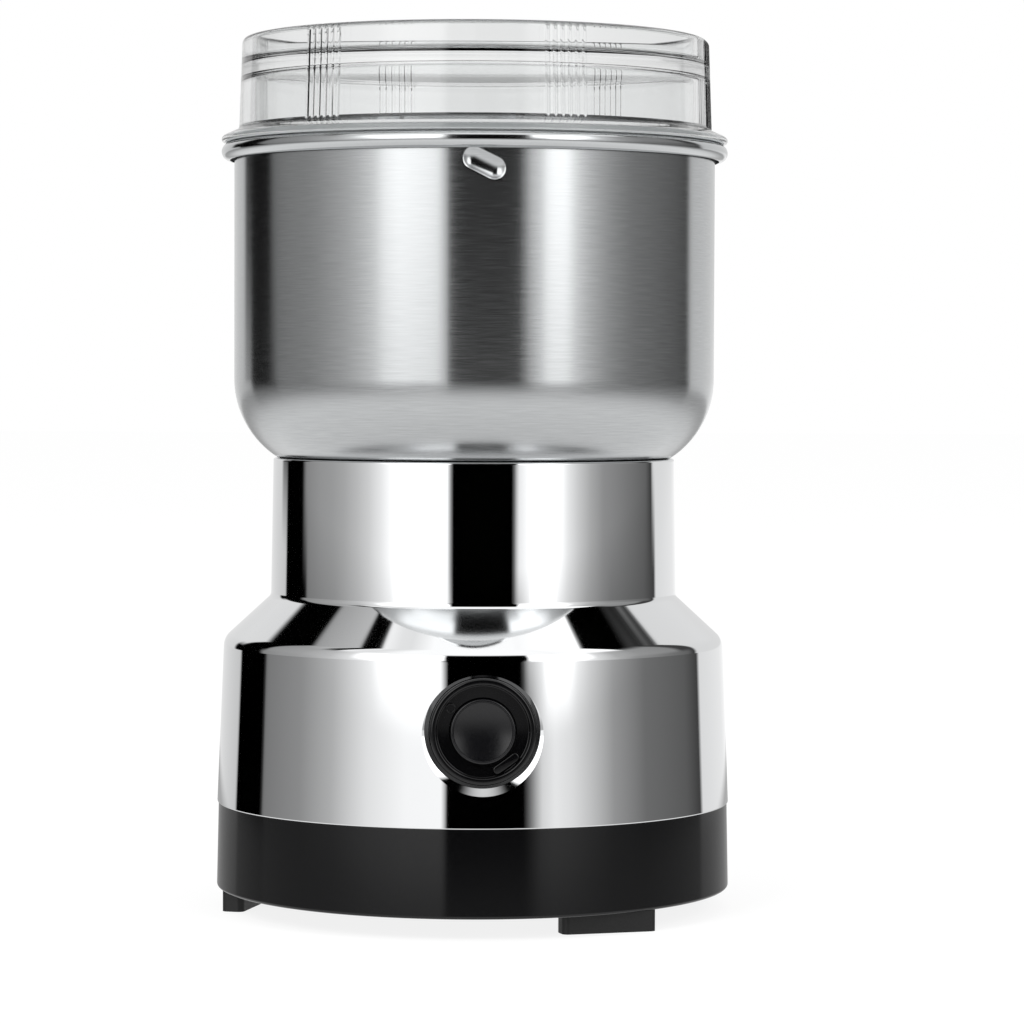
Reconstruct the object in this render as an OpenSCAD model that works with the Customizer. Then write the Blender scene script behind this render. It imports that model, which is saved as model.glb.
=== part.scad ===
// Electric grain grinder: a plated motor housing on a black base, a pressed steel bowl
// with a spinning blade, one push button, and a clear lid that twists and lifts off.
// Millimetres, +Z up, origin on the table under the bowl's axis, button towards -Y.

/* [Base] */
// Diameter of the base at its bottom edge
base_d = 101.6; // [98:0.2:106]
// How much the base's radius narrows up to the housing
base_draft = 0.35; // [0:0.05:1]
// Height of the black base
base_h = 16.8; // [15:0.1:20]
// Wall of the base
base_wall = 2.2; // [1.6:0.1:2.6]
// Floor of the base
base_floor = 2.2; // [1.8:0.1:3]
// Rounding of the base's bottom edge
base_edge = 0.6; // [0.2:0.1:1.2]
// Number of air slots in the floor
vent_count = 16; // [8:1:20]
// Width of an air slot
vent_w = 2.4; // [1.5:0.1:3]
// Length of an air slot, end to end
vent_l = 13; // [8:0.5:15]

/* [Feet] */
// Height of the feet under the base
foot_h = 4.1; // [2:0.1:8]
// Length of a foot
foot_l = 18.5; // [12:0.5:20]
// Thickness of a foot
foot_t = 4.4; // [3:0.1:5]
// Distance of a foot's middle from the base's edge
foot_inset = 5.8; // [5.6:0.1:8]
// Where the first foot stands, from +X
foot_angle = -57.7; // [-70:0.1:-50]
// How far each foot is turned from square to its radius
foot_skew = -18.6; // [-25:0.1:0]
// How deep a foot sits in its pocket
foot_seat = 0.8; // [0.4:0.1:1.2]

/* [Housing] */
// How far the housing stands out past the base's top edge
skirt_step = 0.27; // [0:0.01:0.6]
// Height of the wide lower drum
drum_h = 32; // [30:0.1:36]
// How much the drum's radius narrows upward
drum_draft = 1.3; // [0.2:0.05:2]
// Height of the sloping shoulder
shoulder_h = 8.7; // [6:0.1:12]
// How far the neck stands in from the drum's top
neck_inset = 9.27; // [8:0.01:10]
// Height of the neck
neck_h = 27.25; // [26:0.05:32]
// How much the neck's radius narrows upward
neck_draft = 0.45; // [0:0.05:0.8]
// Wall of the housing
shell_wall = 2.2; // [1.8:0.1:2.4]
// Roof of the housing, under the bowl
roof_t = 2.8; // [2:0.1:3.2]
// Rounding where the drum meets the shoulder
drum_round = 3.5; // [2.4:0.1:5]
// Rounding where the shoulder meets the neck
waist_round = 0.8; // [0.3:0.1:2]
// Rounding of the housing's top edge
rim_round = 0.5; // [0.2:0.05:0.6]

/* [Bowl] */
// Outer radius of the bowl's wall
bowl_r = 47.45; // [46:0.05:48]
// Height of the bowl, floor to rim
bowl_h = 64.65; // [56:0.05:80]
// Thickness of the bowl's sheet
sheet = 0.8; // [0.6:0.05:1]
// Outer radius of the curve between the bowl's floor and wall
bowl_corner = 18.4; // [17.6:0.1:19]
// How deep the bowl sits in the housing
bowl_nest = 2.8; // [2.2:0.1:3]
// Radius of the rolled rim's tube
bead_r = 1.65; // [1.3:0.05:1.9]
// Depth of the rim under which the dents are pressed
dent_drop = 5.9; // [5.6:0.1:8]
// How deep each dent is pressed
dent_depth = 0.95; // [0.6:0.05:1.1]
// Radius of the tool that presses a dent
dent_tool_r = 3; // [2.4:0.1:3.2]
// Straight length of a dent
dent_l = 4.6; // [3:0.1:6]
// How steeply a dent slopes
dent_slope = 25; // [10:1:32]
// Where the first dent lies, from the button, in degrees
dent_turn = 0; // [-5:0.5:5]

/* [Hub in the bowl] */
// Radius of the hub's flange on the bowl's floor
hub_flange_r = 14; // [12:0.5:18]
// Thickness of the hub's flange
hub_flange_t = 1.6; // [1.2:0.1:2.4]
// Height of the hub's cone above its flange
hub_cone_h = 5; // [3:0.5:8]
// Radius of the hub's threaded barrel
hub_barrel_r = 7.5; // [6.5:0.1:8.5]
// Thickness of the nut that clamps the hub
hub_nut_t = 5; // [4:0.5:6]
// Width of the nut across its flats
hub_nut_w = 22; // [20:0.5:26]

/* [Lid] */
// Height of the lid above the bowl's rim
lid_h = 20.3; // [18:0.1:26]
// How far the foot of the lid's wall stands in from the bowl's outside
lid_inset = 0.95; // [0.5:0.05:1.4]
// How much the lid's wall narrows upward
lid_draft = 0.62; // [0:0.02:1]
// Thickness of the lid's wall
lid_wall = 3.2; // [3:0.1:4]
// Depth of the hollow in the lid's top
lid_dish = 5.3; // [4:0.1:7]
// Thickness of the lid's top plate
lid_plate_t = 2.3; // [1.6:0.1:3]
// Rounding of the lid's top edge
lid_edge = 1.1; // [0.5:0.1:1.3]
// Thickness of the lid's flange
lid_flange_t = 2.3; // [2.2:0.1:3]
// Gap between the lid's flange and the bowl's rim
lid_gap = 0.35; // [0.25:0.05:0.6]
// How far the lid's skirt reaches into the bowl
skirt_l = 13; // [12:0.5:18]
// Gap between the lid's skirt and the bowl's inside
skirt_gap = 1.55; // [1.45:0.05:1.75]
// Number of grip patches round the lid
grip_count = 6; // [3:1:8]
// Ribs in each grip patch
grip_ribs = 6; // [3:1:8]
// Spacing of the ribs, in degrees
grip_pitch = 1.85; // [1.7:0.05:2.5]
// Radius of a rib
grip_rib_r = 0.5; // [0.3:0.05:0.6]
// How far a rib stands out of the wall
grip_proud = 0.28; // [0.15:0.01:0.3]
// Where the first grip patch lies, from the button, in degrees
grip_turn = 19.5; // [10:0.5:30]
// Length of each locking lug, in degrees
lug_span = 9; // [6:0.5:12]
// Turn that locks the lid, in degrees
lid_turn = 25; // [20:1:30]

/* [Button] */
// Height of the button's centre above the table
button_z = 39.1; // [37.5:0.1:40]
// Radius of the button's surround
bezel_r = 9.98; // [9.5:0.02:10.4]
// Inner radius of the surround's raised rim
bezel_rim_r = 8.7; // [8.2:0.1:9]
// How far the surround's rim stands above its floor
bezel_rim_h = 1.3; // [0.8:0.1:1.8]
// Radius of the push button
button_r = 6.1; // [5:0.1:6.5]
// Travel of the push button
button_travel = 2; // [1:0.1:2.4]
// Rounding of the housing round the surround
lip_round = 2.4; // [1.6:0.1:2.6]

/* [Motor] */
// Radius of the motor shaft
shaft_r = 3; // [2.5:0.1:3.5]
// Room between the stator and the housing's neck
stator_room = 7.95; // [7.5:0.05:9]
// Inner radius of the stator's ring, as a share of its outer radius
yoke_share = 0.807; // [0.79:0.005:0.82]
// Radius of the stator's pole faces, as a share of its outer radius
pole_share = 0.57; // [0.55:0.01:0.59]
// Air gap between armature and stator
air_gap = 0.5; // [0.4:0.05:0.8]
// Height of the laminated stack
stack_h = 17; // [12:0.5:18]
// Height of the stack's underside above the table
stack_z = 43.5; // [43:0.1:44.5]
// Slots in the armature
slot_count = 12; // [8:1:16]
// Radius of the commutator
comm_r = 9; // [8:0.1:9.5]
// Bars of the commutator
comm_bars = 24; // [12:1:30]
// Radius of the cooling fan
fan_r = 25; // [20:0.5:27]
// Blades of the cooling fan
fan_blades = 11; // [7:1:13]

/* [Cutter] */
// Reach of the blades from the axis
blade_r = 34; // [28:0.5:36]
// Thickness of a blade
blade_t = 1.2; // [1:0.1:1.6]
// Width of a blade
blade_w = 10; // [8:0.5:12]
// Bend of the upper blade's arms
blade_rise = 24; // [10:1:30]
// Bend of the lower blade's arms
blade_dip = 9; // [4:1:10]

/* [Hidden] */

$fn = 96;
eps = 0.01;
slip = 0.1;
slide_gap = 0.08;
seat_gap = 0.05;

// Heights of the stack of parts
base_z = foot_h;
drum_z = base_z + base_h;
shoulder_z = drum_z + drum_h;
neck_z = shoulder_z + shoulder_h;
rim_z = neck_z + neck_h;
floor_z = rim_z - bowl_nest;
bead_z = floor_z + bowl_h;
flange_z = bead_z + lid_gap;
lid_z = flange_z + lid_h;

// Radii that follow from the driving sizes
base_r = base_d / 2;
base_top_r = base_r - base_draft;
drum_r = base_top_r + skirt_step;
drum_top_r = drum_r - drum_draft;
neck_r = drum_top_r - neck_inset;
neck_top_r = neck_r - neck_draft;
foot_r = base_r - foot_inset;
bowl_in_r = bowl_r - sheet;
bead_mid_r = bowl_in_r + bead_r;
bead_out_r = bead_mid_r + bead_r;
lid_r = bowl_r - lid_inset;
lid_bore_r = lid_r - lid_wall;
skirt_r = bowl_in_r - skirt_gap;

// Screws that hold the base
base_screw_n = 3;
base_screw_at = base_top_r - base_wall - 5.85;
base_screw_turn = 0;
screw_r = 1.45;
screw_head_r = 2.8;
screw_head_h = 2;
post_r = 4.8;
post_z = drum_z + 4;
boss_r = 3.6;
boss_top_z = shoulder_z + 1;
boss_wall_gap = 0.5;
spigot_h = 3;
spigot_t = 1.45;

// Motor, from the outside in, and from the bottom up
stator_r = neck_r - shell_wall - stator_room;
yoke_in_r = stator_r * yoke_share;
pole_r = stator_r * pole_share;
rotor_r = pole_r - air_gap;
fan_z = base_z + base_floor + 2.4;
fan_h = 8.5;
low_plate_z = 20.6;
low_plate_t = 3.4;
comm_z = 29;
comm_h = 8;
wind_h = 5.5;
stack_top = stack_z + stack_h;
top_plate_t = 2;
damper_t = 2.6;
boss_gap_z = floor_z - roof_t - 6.5;
top_plate_z = boss_gap_z - damper_t - top_plate_t;
bearing_r = 5.5;
bearing_h = 7;
bearing_wall = 2;
top_bearing_z = top_plate_z - bearing_h + 3;
low_bearing_z = low_plate_z - 1;
bolt_at = stator_r - 3.2;
bolt_r = 1.5;
bolt_post_r = 2.8;
bolt_head_h = 2;
bolt_nut_w = 5.4;
ear_at = neck_top_r - shell_wall - boss_wall_gap - boss_r;
ear_r = 3.9;
pole_half = 35;
coil_side = 14;
coil_gap = 0.6;
slot_r = rotor_r * 0.12;
slot_at = rotor_r - slot_r - 1.2;

// Brushes lie along Y, on either side of the commutator
brush_w = 5;
brush_h = 6.6;
brush_l = 9;
holder_wall = 0.7;
holder_in = comm_r + 1.6;
holder_out = stator_r - 2.5;
brush_z = comm_z + comm_h / 2;

// Button and switch, along -Y
wall_y = drum_r - drum_draft * (button_z - drum_z) / drum_h;
bezel_front = wall_y + 0.6;
bezel_floor = bezel_front - bezel_rim_h;
hole_r = bezel_r + 0.12;
lip_y = wall_y + 0.6;
boss_y = wall_y - shell_wall - 2.4;
bezel_flange_r = bezel_r + 1.5;
bezel_flange_t = 1.6;
stop_y = boss_y + 0.6;
button_flange_t = 1;
button_front = bezel_front - 0.2;
button_flange_r = button_r + 1.3;
switch_y = stop_y - button_flange_t - button_travel - 1.2;
switch_d = 9.4;
switch_w = 19.8;
switch_h = 12.8;
plunger_r = 1.2;
plunger_l = 4.6;
plunger_tip = switch_y + 2.5;
spring_mid_r = 4;
spring_wire = 0.25;
cap_hollow_r = spring_mid_r + 0.7;
cap_hollow_y = button_front - 1.8;

// Cord inlet at the back
gland_z = base_z + base_h / 2 + 0.6;
gland_bore_r = 3.1;
gland_r = 4.6;
gland_flange_r = 6;
gland_l = 9;
gland_pad_t = 3;
gland_pad_y = base_r - base_wall - 1 - gland_pad_t;

// Bowl hub and shaft top
hub_top = floor_z + sheet + hub_flange_t + hub_cone_h;
hub_low = floor_z - roof_t - hub_nut_t - 1;
gasket_t = 0.6;
seal_r = 5.6;
seal_h = 3.4;
shaft_low = fan_z - 1;
thread_r = shaft_r - 0.5;
spacer_z = hub_top + 0.8;
spacer_h = 2.2;
blade_z = spacer_z + spacer_h;
bend_at = 8;
edge_taper = 1;
edge_land = 0.25;
edge_lean = 62;
edge_start = 3;
tip_back = 1.5;
nut_r = 4.6;
nut_h = 6;
shaft_top = blade_z + 2 * blade_t + nut_h - 1.2;

// Lid seal and lugs
seal_in_r = bead_mid_r - 0.9;
seal_out_r = bead_mid_r + 0.8;
seal_top = flange_z + 0.8;
dent_z = bead_z - dent_drop;
dent_n = 3;
dent_axis_r = bowl_r + dent_tool_r - dent_depth;
bump_r = dent_tool_r + sheet;
bump_low = dent_z - sqrt(bump_r * bump_r - pow(dent_axis_r - bowl_in_r, 2))
    - dent_l / 2 * sin(dent_slope);
lug_h = 2;
lug_top = bump_low - 0.35;
lug_r = bowl_in_r - 0.4;
lug_inner_r = skirt_r - 0.6;

// A corner p between its neighbours a and b: half its angle, and where a round of radius r
// touches the side towards a, and has its centre
function unit(v) = v / norm(v);
function half_turn(p, a, b) = acos(unit(a - p) * unit(b - p)) / 2;
function touch(p, a, b, r) = p + unit(a - p) * r / tan(half_turn(p, a, b));
function round_mid(p, a, b, r) = p + unit(unit(a - p) + unit(b - p)) * r / sin(half_turn(p, a, b));
function cross_z(a, p, b) = (p[0] - a[0]) * (b[1] - p[1]) - (p[1] - a[1]) * (b[0] - p[0]);

// An outline given anticlockwise, with its own round on each corner
module soft_outline(pts, rounds) {
    n = len(pts);
    difference() {
        union() {
            polygon(pts);
            for (i = [0:n - 1])
                if (rounds[i] > 0 && cross_z(pts[(i + n - 1) % n], pts[i], pts[(i + 1) % n]) < 0)
                    corner_wedge(pts[i], pts[(i + n - 1) % n], pts[(i + 1) % n], rounds[i]);
        }
        for (i = [0:n - 1])
            if (rounds[i] > 0) {
                a = pts[(i + n - 1) % n];
                b = pts[(i + 1) % n];
                if (cross_z(a, pts[i], b) < 0)
                    translate(round_mid(pts[i], a, b, rounds[i])) circle(rounds[i]);
                else
                    difference() {
                        corner_wedge(pts[i], a, b, rounds[i]);
                        translate(round_mid(pts[i], a, b, rounds[i])) circle(rounds[i]);
                    }
            }
    }
}

module corner_wedge(p, a, b, r) {
    polygon([p, touch(p, a, b, r), touch(p, b, a, r)]);
}

// An upright prism that is cut from a ring: inner and outer radius, height, and the angles it spans
module ring_sector(r1, r2, z, h, from, span) {
    rotate([0, 0, from]) rotate_extrude(angle = span) translate([r1, z]) square([r2 - r1, h]);
}

module tube(r1, r2, z, h) {
    translate([0, 0, z]) difference() {
        cylinder(r = r2, h = h);
        translate([0, 0, -eps]) cylinder(r = r1, h = h + 2 * eps);
    }
}

// Copies round the axis
module around(n, first = 0) {
    for (i = [0:n - 1]) rotate([0, 0, first + i * 360 / n]) children();
}

// A rectangle with round corners, centred
module soft_rect(l, w, r) {
    square([l - 2 * r, w], center = true);
    square([l, w - 2 * r], center = true);
    for (x = [-1, 1], y = [-1, 1]) translate([x * (l / 2 - r), y * (w / 2 - r)]) circle(r);
}

// What stands on the button's axis is drawn upright and turned to face -Y,
// so that a height in it is a distance from the bowl's axis
module to_front() {
    translate([0, 0, button_z]) rotate([90, 0, 0]) children();
}

// A coil spring of round wire, standing on z = 0: each ring of points is square to its turn
module coil_spring(mid_r, wire_r, len, turns) {
    sides = 6;
    steps = 12;
    rings = steps * turns;
    rise = len - 2 * wire_r;
    function ring_point(i, j) = let (a = 360 * i / steps, b = 360 * j / sides)
        [(mid_r + wire_r * cos(b)) * cos(a), (mid_r + wire_r * cos(b)) * sin(a),
         wire_r + rise * i / rings + wire_r * sin(b)];
    points = [for (i = [0:rings], j = [0:sides - 1]) ring_point(i, j)];
    walls = [for (i = [0:rings - 1], j = [0:sides - 1]) let (k = (j + 1) % sides)
        each [[i * sides + j, (i + 1) * sides + j, (i + 1) * sides + k],
              [i * sides + j, (i + 1) * sides + k, i * sides + k]]];
    caps = [[for (j = [0:sides - 1]) j],
            [for (j = [sides - 1:-1:0]) rings * sides + j]];
    polyhedron(points, concat(walls, caps));
}

// Places of the feet and of the base's screws
module at_feet() {
    around(3, foot_angle) translate([foot_r, 0, 0]) rotate([0, 0, 90 + foot_skew]) children();
}

module at_base_screws() {
    around(base_screw_n, base_screw_turn) translate([base_screw_at, 0, 0]) children();
}

module base_cover() {
    spigot_r = drum_r - shell_wall - 0.3;
    color("#141416") difference() {
        union() {
            rotate_extrude() {
                difference() {
                    soft_outline([[0, base_z], [base_r, base_z], [base_top_r, drum_z], [0, drum_z]],
                        [0, base_edge, 0, 0]);
                    translate([0, base_z + base_floor])
                        square([base_top_r - base_wall, base_h]);
                }
                translate([spigot_r - spigot_t, base_z + eps]) square([spigot_t, base_h + spigot_h]);
            }
            at_base_screws() translate([0, 0, base_z + eps])
                cylinder(r = post_r, h = post_z - base_z - eps);
            translate([0, gland_pad_y + gland_pad_t, gland_z]) rotate([90, 0, 0])
                cylinder(r = gland_r + 2, h = gland_pad_t);
        }
        at_base_screws() {
            translate([0, 0, base_z - eps])
                cylinder(r = screw_head_r + 0.4, h = screw_head_h + 1 + 2 * eps);
            cylinder(r = screw_r + 0.25, h = post_z + 1);
        }
        at_feet() translate([0, 0, base_z - eps]) linear_extrude(foot_seat + eps)
            soft_rect(foot_l + 2 * seat_gap, foot_t + 2 * seat_gap, 1.2);
        around(vent_count, 180 / vent_count) translate([fan_r - 1, 0, base_z - 1])
            linear_extrude(base_floor + 2) soft_rect(vent_l, vent_w, vent_w / 2 - eps);
        translate([0, base_r + 1, gland_z]) rotate([90, 0, 0]) cylinder(r = gland_r + seat_gap, h = 12);
        translate([0, base_r + 1, gland_z]) rotate([90, 0, 0])
            cylinder(r = gland_flange_r + seat_gap, h = 1 + base_draft + 1.2);
    }
}

module feet() {
    color("#0c0c0d") at_feet() linear_extrude(foot_h + foot_seat)
        soft_rect(foot_l, foot_t, 1.2);
}

// A pan-head screw whose head's underside is at z = 0, with its shank upward
module pan_screw(shank_r, head_r, head_h, shank_l) {
    cylinder(r = shank_r, h = shank_l);
    difference() {
        rotate_extrude() soft_outline([[0, -head_h], [head_r, -head_h], [head_r, 0], [0, 0]],
            [0, head_h / 2, 0, 0]);
        for (a = [0, 90]) rotate([0, 0, a]) translate([-head_r * 0.6, -0.4, -head_h - eps])
            cube([head_r * 1.2, 0.8, head_h / 2]);
    }
}

module base_screws() {
    color("#8d8f92") at_base_screws() translate([0, 0, base_z + screw_head_h + 1])
        pan_screw(screw_r, screw_head_r, screw_head_h, post_z - base_z + 4);
}

// The housing's outline, outside and inside, and the hollow that the bowl sits in
module housing_outside() {
    soft_outline([[0, drum_z], [drum_r, drum_z], [drum_top_r, shoulder_z], [neck_r, neck_z],
        [neck_top_r, rim_z], [0, rim_z]], [0, 0, drum_round, waist_round, rim_round, 0]);
}

module housing_inside() {
    half = half_turn([drum_top_r, shoulder_z], [drum_r, drum_z], [neck_r, neck_z]);
    slope_shift = shell_wall * tan(half - 45);
    soft_outline([[0, drum_z - 1], [drum_r - shell_wall, drum_z - 1],
        [drum_top_r - shell_wall, shoulder_z - shell_wall + slope_shift],
        [neck_r - shell_wall, neck_z - shell_wall + slope_shift],
        [neck_top_r - shell_wall, floor_z - roof_t], [0, floor_z - roof_t]],
        [0, 0, drum_round - shell_wall, 0, 0, 0]);
}

module bowl_seat() {
    difference() {
        translate([bowl_r - bowl_corner, floor_z + bowl_corner]) circle(bowl_corner + 0.15, $fn = 180);
        translate([0, floor_z - 1]) square([bowl_r - bowl_corner - 3, 1]);
    }
    translate([0, floor_z]) square([bowl_r - bowl_corner, bowl_nest + 1]);
}

module at_ears() {
    for (s = [-1, 1]) translate([s * ear_at, 0, 0]) children();
}

module housing() {
    color("#d8dadc") difference() {
        union() {
            rotate_extrude() difference() {
                housing_outside();
                housing_inside();
                bowl_seat();
            }
            at_base_screws() translate([0, 0, post_z]) cylinder(r = boss_r, h = boss_top_z - post_z);
            at_ears() translate([0, 0, boss_gap_z])
                cylinder(r = boss_r, h = floor_z - roof_t - boss_gap_z + 1);
            to_front() translate([0, 0, boss_y]) cylinder(r = bezel_flange_r + 0.2, h = shell_wall + 0.6);
        }
        at_base_screws() translate([0, 0, post_z - 1]) cylinder(r = screw_r + seat_gap, h = 12);
        at_ears() translate([0, 0, boss_gap_z - 1]) cylinder(r = bolt_r + seat_gap, h = 6.5);
        translate([0, 0, floor_z - roof_t - 1]) cylinder(r = hub_barrel_r + 0.3, h = roof_t + 2);
        to_front() rotate_extrude() soft_outline([[0, boss_y - 1], [hole_r, boss_y - 1], [hole_r, lip_y],
            [hole_r + lip_round + 1, lip_y], [hole_r + lip_round + 1, lip_y + 3], [0, lip_y + 3]],
            [0, 0, lip_round, 0, 0, 0]);
    }
}

// One dent's tool: a round-ended bar that lies along the wall and slopes
module dent_bar(r) {
    rotate([0, 0, -90]) translate([dent_axis_r, 0, dent_z]) rotate([dent_slope, 0, 0]) {
        rotate([90, 0, 0]) cylinder(r = r, h = dent_l, center = true);
        for (s = [-1, 1]) translate([0, s * dent_l / 2, 0]) sphere(r);
    }
}

module bowl() {
    color("#b9bcc0") difference() {
        union() {
            difference() {
                union() {
                    rotate_extrude($fn = 180) difference() {
                        soft_outline([[0, floor_z], [bowl_r, floor_z], [bowl_r, bead_z - bead_r],
                            [0, bead_z - bead_r]], [0, bowl_corner, 0, 0]);
                        soft_outline([[0, floor_z + sheet], [bowl_in_r, floor_z + sheet],
                            [bowl_in_r, bead_z + 1], [0, bead_z + 1]], [0, bowl_corner - sheet, 0, 0]);
                    }
                    intersection() {
                        around(dent_n, dent_turn) dent_bar(bump_r);
                        cylinder(r = bowl_r - 0.05, h = bead_z - 1.8);
                    }
                }
                around(dent_n, dent_turn) dent_bar(dent_tool_r);
            }
            rotate_extrude($fn = 180) translate([bead_mid_r, bead_z - bead_r]) difference() {
                circle(bead_r);
                circle(bead_r - sheet);
                translate([-bead_r + sheet, -bead_r - 1]) square([bead_r - sheet, bead_r + 1]);
                translate([-bead_r - 1, -bead_r - 1]) square([bead_r + 1, bead_r + 0.5]);
            }
        }
        translate([0, 0, floor_z - 1]) cylinder(r = hub_barrel_r + 0.15, h = 4);
    }
}

module bowl_hub() {
    low = floor_z + sheet + gasket_t;
    color("#c8cacc") difference() {
        rotate_extrude() {
            soft_outline([[0, low], [hub_flange_r, low], [hub_flange_r, low + hub_flange_t - gasket_t],
                [hub_barrel_r + 2, low + hub_flange_t + 0.2], [hub_barrel_r - 1, hub_top], [0, hub_top]],
                [0, 0, 0.4, 1, 1, 0]);
            translate([0, hub_low]) square([hub_barrel_r, low - hub_low + eps]);
        }
        translate([0, 0, hub_low - 1]) cylinder(r = shaft_r + 0.4, h = hub_top);
        translate([0, 0, hub_top - seal_h]) cylinder(r = seal_r, h = seal_h + 1);
    }
}

module hub_nut() {
    color("#a7a9ac") difference() {
        translate([0, 0, floor_z - roof_t - hub_nut_t])
            cylinder(r = hub_nut_w / 2 / cos(30), h = hub_nut_t, $fn = 6);
        translate([0, 0, hub_low - 1]) cylinder(r = hub_barrel_r + seat_gap, h = hub_nut_t + 10);
    }
}

module hub_gasket() {
    color("#26272a") tube(hub_barrel_r + seat_gap, hub_flange_r - 1, floor_z + sheet, gasket_t);
}

module shaft_seal() {
    color("#1b1b1d") difference() {
        translate([0, 0, hub_top - seal_h]) cylinder(r = seal_r - seat_gap, h = seal_h);
        translate([0, 0, hub_top - seal_h - 1]) cylinder(r = shaft_r + slide_gap, h = seal_h + 2);
        translate([0, 0, hub_top - seal_h - eps]) cylinder(r = shaft_r + 1.2, h = seal_h - 1.2);
    }
}

// Sleeve bearings sit in cups on the motor's two brackets
module sleeve_bearing(z) {
    tube(shaft_r + 0.03, bearing_r, z, bearing_h);
}

module at_bolts() {
    for (s = [-1, 1]) translate([s * bolt_at, 0, 0]) children();
}

module motor_upper_bracket() {
    color("#9a9da1") difference() {
        union() {
            translate([0, 0, top_plate_z]) linear_extrude(top_plate_t) {
                square([2 * ear_at, 2 * ear_r], center = true);
                for (s = [-1, 1]) translate([s * ear_at, 0]) circle(ear_r);
                circle(bearing_r + bearing_wall + 3);
            }
            at_bolts() translate([0, 0, stack_top])
                cylinder(r = bolt_post_r, h = top_plate_z - stack_top + eps);
            translate([0, 0, top_bearing_z]) cylinder(r = bearing_r + bearing_wall, h = bearing_h);
        }
        translate([0, 0, top_bearing_z - 1]) cylinder(r = bearing_r + seat_gap, h = bearing_h + 4);
        at_bolts() translate([0, 0, stack_top - 1]) cylinder(r = bolt_r + seat_gap, h = 30);
        at_ears() translate([0, 0, top_plate_z - 1]) cylinder(r = bolt_r + 0.2, h = 4);
    }
}

module upper_bearing() {
    color("#b08a4a") sleeve_bearing(top_bearing_z);
}

module motor_lower_bracket() {
    seat_w = brush_w + 2 * holder_wall + 2;
    seat_l = holder_out - holder_in - 1;
    color("#2f3236") difference() {
        union() {
            translate([0, 0, low_plate_z]) linear_extrude(low_plate_t) {
                square([2 * bolt_at, 9], center = true);
                for (s = [-1, 1]) translate([s * bolt_at, 0]) circle(4.5);
                square([seat_w, 2 * holder_out], center = true);
                circle(bearing_r + bearing_wall + 4);
            }
            at_bolts() translate([0, 0, low_plate_z]) cylinder(r = bolt_post_r, h = stack_z - low_plate_z);
            translate([0, 0, low_bearing_z]) cylinder(r = bearing_r + bearing_wall, h = bearing_h);
            for (a = [0, 180]) rotate([0, 0, a]) translate([-seat_w / 2, -holder_out, low_plate_z])
                cube([seat_w, seat_l, brush_z - brush_h / 2 - holder_wall - low_plate_z]);
        }
        translate([0, 0, low_bearing_z - 1]) cylinder(r = bearing_r + seat_gap, h = bearing_h + 3);
        at_bolts() translate([0, 0, low_plate_z - 1]) cylinder(r = bolt_r + seat_gap, h = 40);
    }
}

module lower_bearing() {
    color("#b08a4a") sleeve_bearing(low_bearing_z);
}

// Laminated ring with two pole pieces that face the armature along Y
module stator_core() {
    color("#7d8084") difference() {
        union() {
            tube(yoke_in_r, stator_r, stack_z, stack_h);
            for (a = [90, 270])
                ring_sector(pole_r, yoke_in_r + 1, stack_z, stack_h, a - pole_half, 2 * pole_half);
        }
        at_bolts() translate([0, 0, stack_z - 1]) cylinder(r = bolt_r + 0.2, h = stack_h + 2);
    }
}

// Each coil is wound round a pole piece and bows out past both ends of the stack
module field_coils() {
    coil_in = pole_r + coil_gap + 0.2;
    coil_out = yoke_in_r - coil_gap / 2;
    half = pole_half + 1 + coil_side;
    color("#9c4a22") for (a = [90, 270]) difference() {
        ring_sector(coil_in, coil_out, stack_z - wind_h, stack_h + 2 * wind_h, a - half, 2 * half);
        ring_sector(coil_in - 1, coil_out + 1, stack_z - coil_gap, stack_h + 2 * coil_gap,
            a - pole_half - 1, 2 * pole_half + 2);
    }
}

module motor_bolts() {
    grip = top_plate_z + top_plate_t - low_plate_z;
    color("#8d8f92") at_bolts() translate([0, 0, low_plate_z]) {
        pan_screw(bolt_r, bolt_post_r, bolt_head_h, grip + 3);
        translate([0, 0, grip]) rotate([0, 0, 30]) cylinder(r = bolt_nut_w / 2 / cos(30), h = 2, $fn = 6);
    }
}

module motor_dampers() {
    color("#1b1b1d") at_ears() tube(bolt_r + 0.2, boss_r, top_plate_z + top_plate_t, damper_t);
}

module damper_screws() {
    color("#8d8f92") at_ears() translate([0, 0, top_plate_z])
        pan_screw(bolt_r, bolt_post_r - 0.4, bolt_head_h, top_plate_t + damper_t + 3 * bolt_r);
}

// Brush holders are square brass tubes on the lower bracket, one on each side of the commutator
module at_brushes() {
    for (a = [0, 180]) rotate([0, 0, a]) translate([0, 0, brush_z]) children();
}

module brush_holders() {
    w = brush_w + 2 * holder_wall;
    h = brush_h + 2 * holder_wall;
    color("#c9a24a") at_brushes() difference() {
        translate([-w / 2, -holder_out, -h / 2]) cube([w, holder_out - holder_in, h]);
        translate([-brush_w / 2 - slip, -holder_out + holder_wall, -brush_h / 2 - slip])
            cube([brush_w + 2 * slip, holder_out, brush_h + 2 * slip]);
    }
}

module carbon_brushes() {
    color("#2b2b2d") at_brushes() difference() {
        translate([-brush_w / 2, -comm_r - brush_l, -brush_h / 2]) cube([brush_w, brush_l + 1, brush_h]);
        translate([0, 0, -comm_h]) cylinder(r = comm_r + slip, h = 2 * comm_h);
    }
}

module brush_springs() {
    back = comm_r + brush_l + slip;
    color("#8f9296") at_brushes() translate([0, -back, 0]) rotate([90, 0, 0])
        coil_spring(brush_w / 2 - 0.7, spring_wire, holder_out - holder_wall - back - slip, 6);
}

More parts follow.
